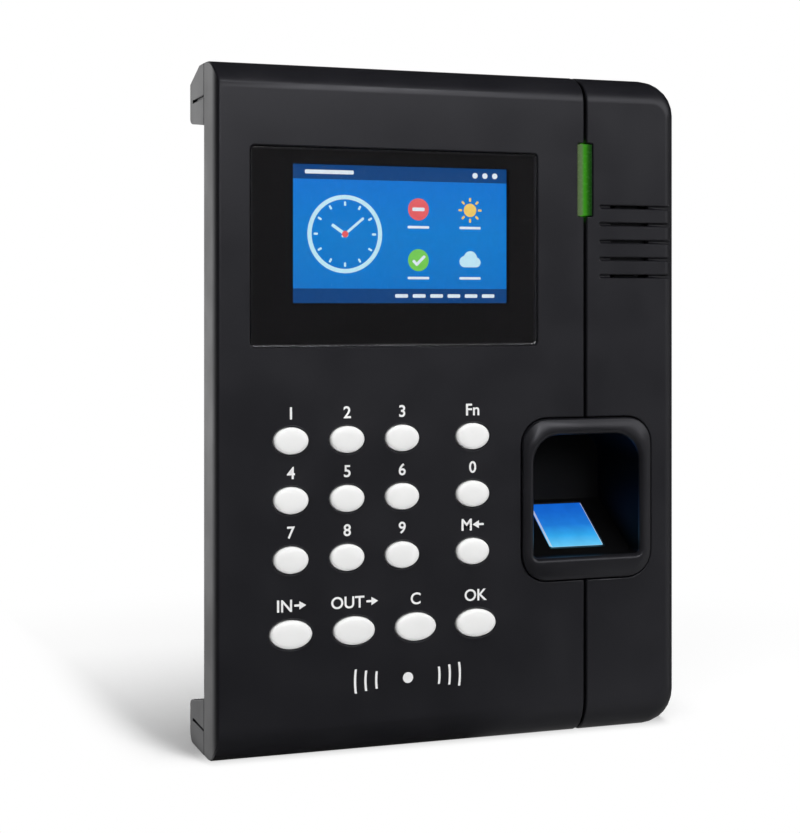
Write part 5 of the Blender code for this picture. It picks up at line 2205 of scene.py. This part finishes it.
        # Painted shadow: seen in reflections, the floor is darker near the object and full bright in front
        # of it.
        shade = bench.between(away, self.floor_near, (self.floor_shadow_in_reflection, 1.0), Curve.STRAIGHT)
        shade = bench.math("MAXIMUM", shade, bench.between(depth, self.floor_front, (0.0, 1.0)))
        level = bench.math("MULTIPLY", self.surround(bench, self.from_foot(bench, place)), shade)
        dim = bench.either(mirrored, 1.0, level)
        limits = (self.floor_albedo - self.speckle_depth, self.floor_albedo)
        speckle = bench.between(bench.noise(place, self.floor_speckle), CLOUD, limits)
        pale = bench.grey(bench.math("MULTIPLY", speckle, dim))
        matt = bench.add("ShaderNodeBsdfDiffuse", {"Color": pale})
        camera = path.outputs["Is Camera Ray"]
        lift = bench.math("MULTIPLY", camera, self.floor_lift)
        glow = bench.add("ShaderNodeEmission", {"Strength": lift})
        near = bench.add("ShaderNodeAddShader", {0: matt.outputs[0], 1: glow.outputs[0]})
        white = bench.add("ShaderNodeEmission", {"Strength": dim})
        fade = bench.math("MAXIMUM", bench.math("MULTIPLY", far, camera), mirrored)
        layers = {0: fade, 1: near.outputs[0], 2: white.outputs[0]}
        bench.surface(bench.add("ShaderNodeMixShader", layers))
        floor.data.materials.append(material)

    def build_world(self) -> None:
        """White for the camera, and for reflections white behind and dim in front and overhead."""
        world = bpy.data.worlds.new("studio")
        bpy.context.scene.world = world
        world.use_nodes = True
        world.cycles.sampling_method = "NONE"
        bench = NodeBench(world.node_tree)
        way = bench.add("ShaderNodeTexCoord").outputs["Generated"]
        overhead = bench.between(bench.split(way)[Axis.Z.value], self.top_reach, (1.0, self.top_gloss))
        around = bench.math("MULTIPLY", self.surround(bench, way), overhead)
        seen = self.with_bands(bench, way, around)
        path = bench.add("ShaderNodeLightPath")
        fill = bench.either(self.mirrored(bench, path), self.ambient, seen)
        level = bench.either(path.outputs["Is Camera Ray"], fill, 1.0)
        sky = bench.add("ShaderNodeBackground", {"Color": (1.0, 1.0, 1.0, 1.0), "Strength": level})
        bench.add("ShaderNodeOutputWorld", {"Surface": sky.outputs[0]})

    def hang(self, lamp: Lamp) -> None:
        """Hangs one soft light.

        Args:
            lamp: the light.
        """
        turn, lift = math.radians(lamp.azimuth), math.radians(lamp.elevation)
        level = math.cos(lift)
        way = Vector((math.sin(turn) * level, -math.cos(turn) * level, math.sin(lift)))
        data = bpy.data.lights.new(lamp.name, "AREA")
        data.shape = "RECTANGLE"
        data.size = lamp.width
        data.size_y = lamp.height
        data.energy = lamp.power
        light = bpy.data.objects.new(lamp.name, data)
        bpy.context.scene.collection.objects.link(light)
        light.location = Vector(self.target) + way * lamp.distance
        light.rotation_euler = (-way).to_track_quat("-Z", "Y").to_euler()
        light.visible_camera = False
        light.visible_glossy = False

    def place_camera(self) -> None:
        """The camera at the photograph's place, level, with its frame moved down."""
        data = bpy.data.cameras.new("camera")
        data.lens = self.lens
        data.sensor_width = self.sensor
        data.shift_y = self.shift_y
        data.clip_start, data.clip_end = self.clip
        camera = bpy.data.objects.new("camera", data)
        bpy.context.scene.collection.objects.link(camera)
        camera.location = self.camera_place
        camera.rotation_euler = (math.pi / 2, 0, math.radians(self.camera_turn))
        bpy.context.scene.camera = camera


def main() -> None:
    """Builds the studio and every sub-assembly in order."""
    logging.basicConfig(level=logging.INFO, format="%(message)s")
    bpy.context.scene.view_settings.view_transform = "Standard"
    Studio().build()
    InnerWorks().build()
    Sockets().build()
    covers = Covers()
    covers.dress(covers.build())
    Display().build()
    Keypad().build()
    FingerReader().build()
    StatusLight().build()
    fresh()


if __name__ == "__main__":
    main()
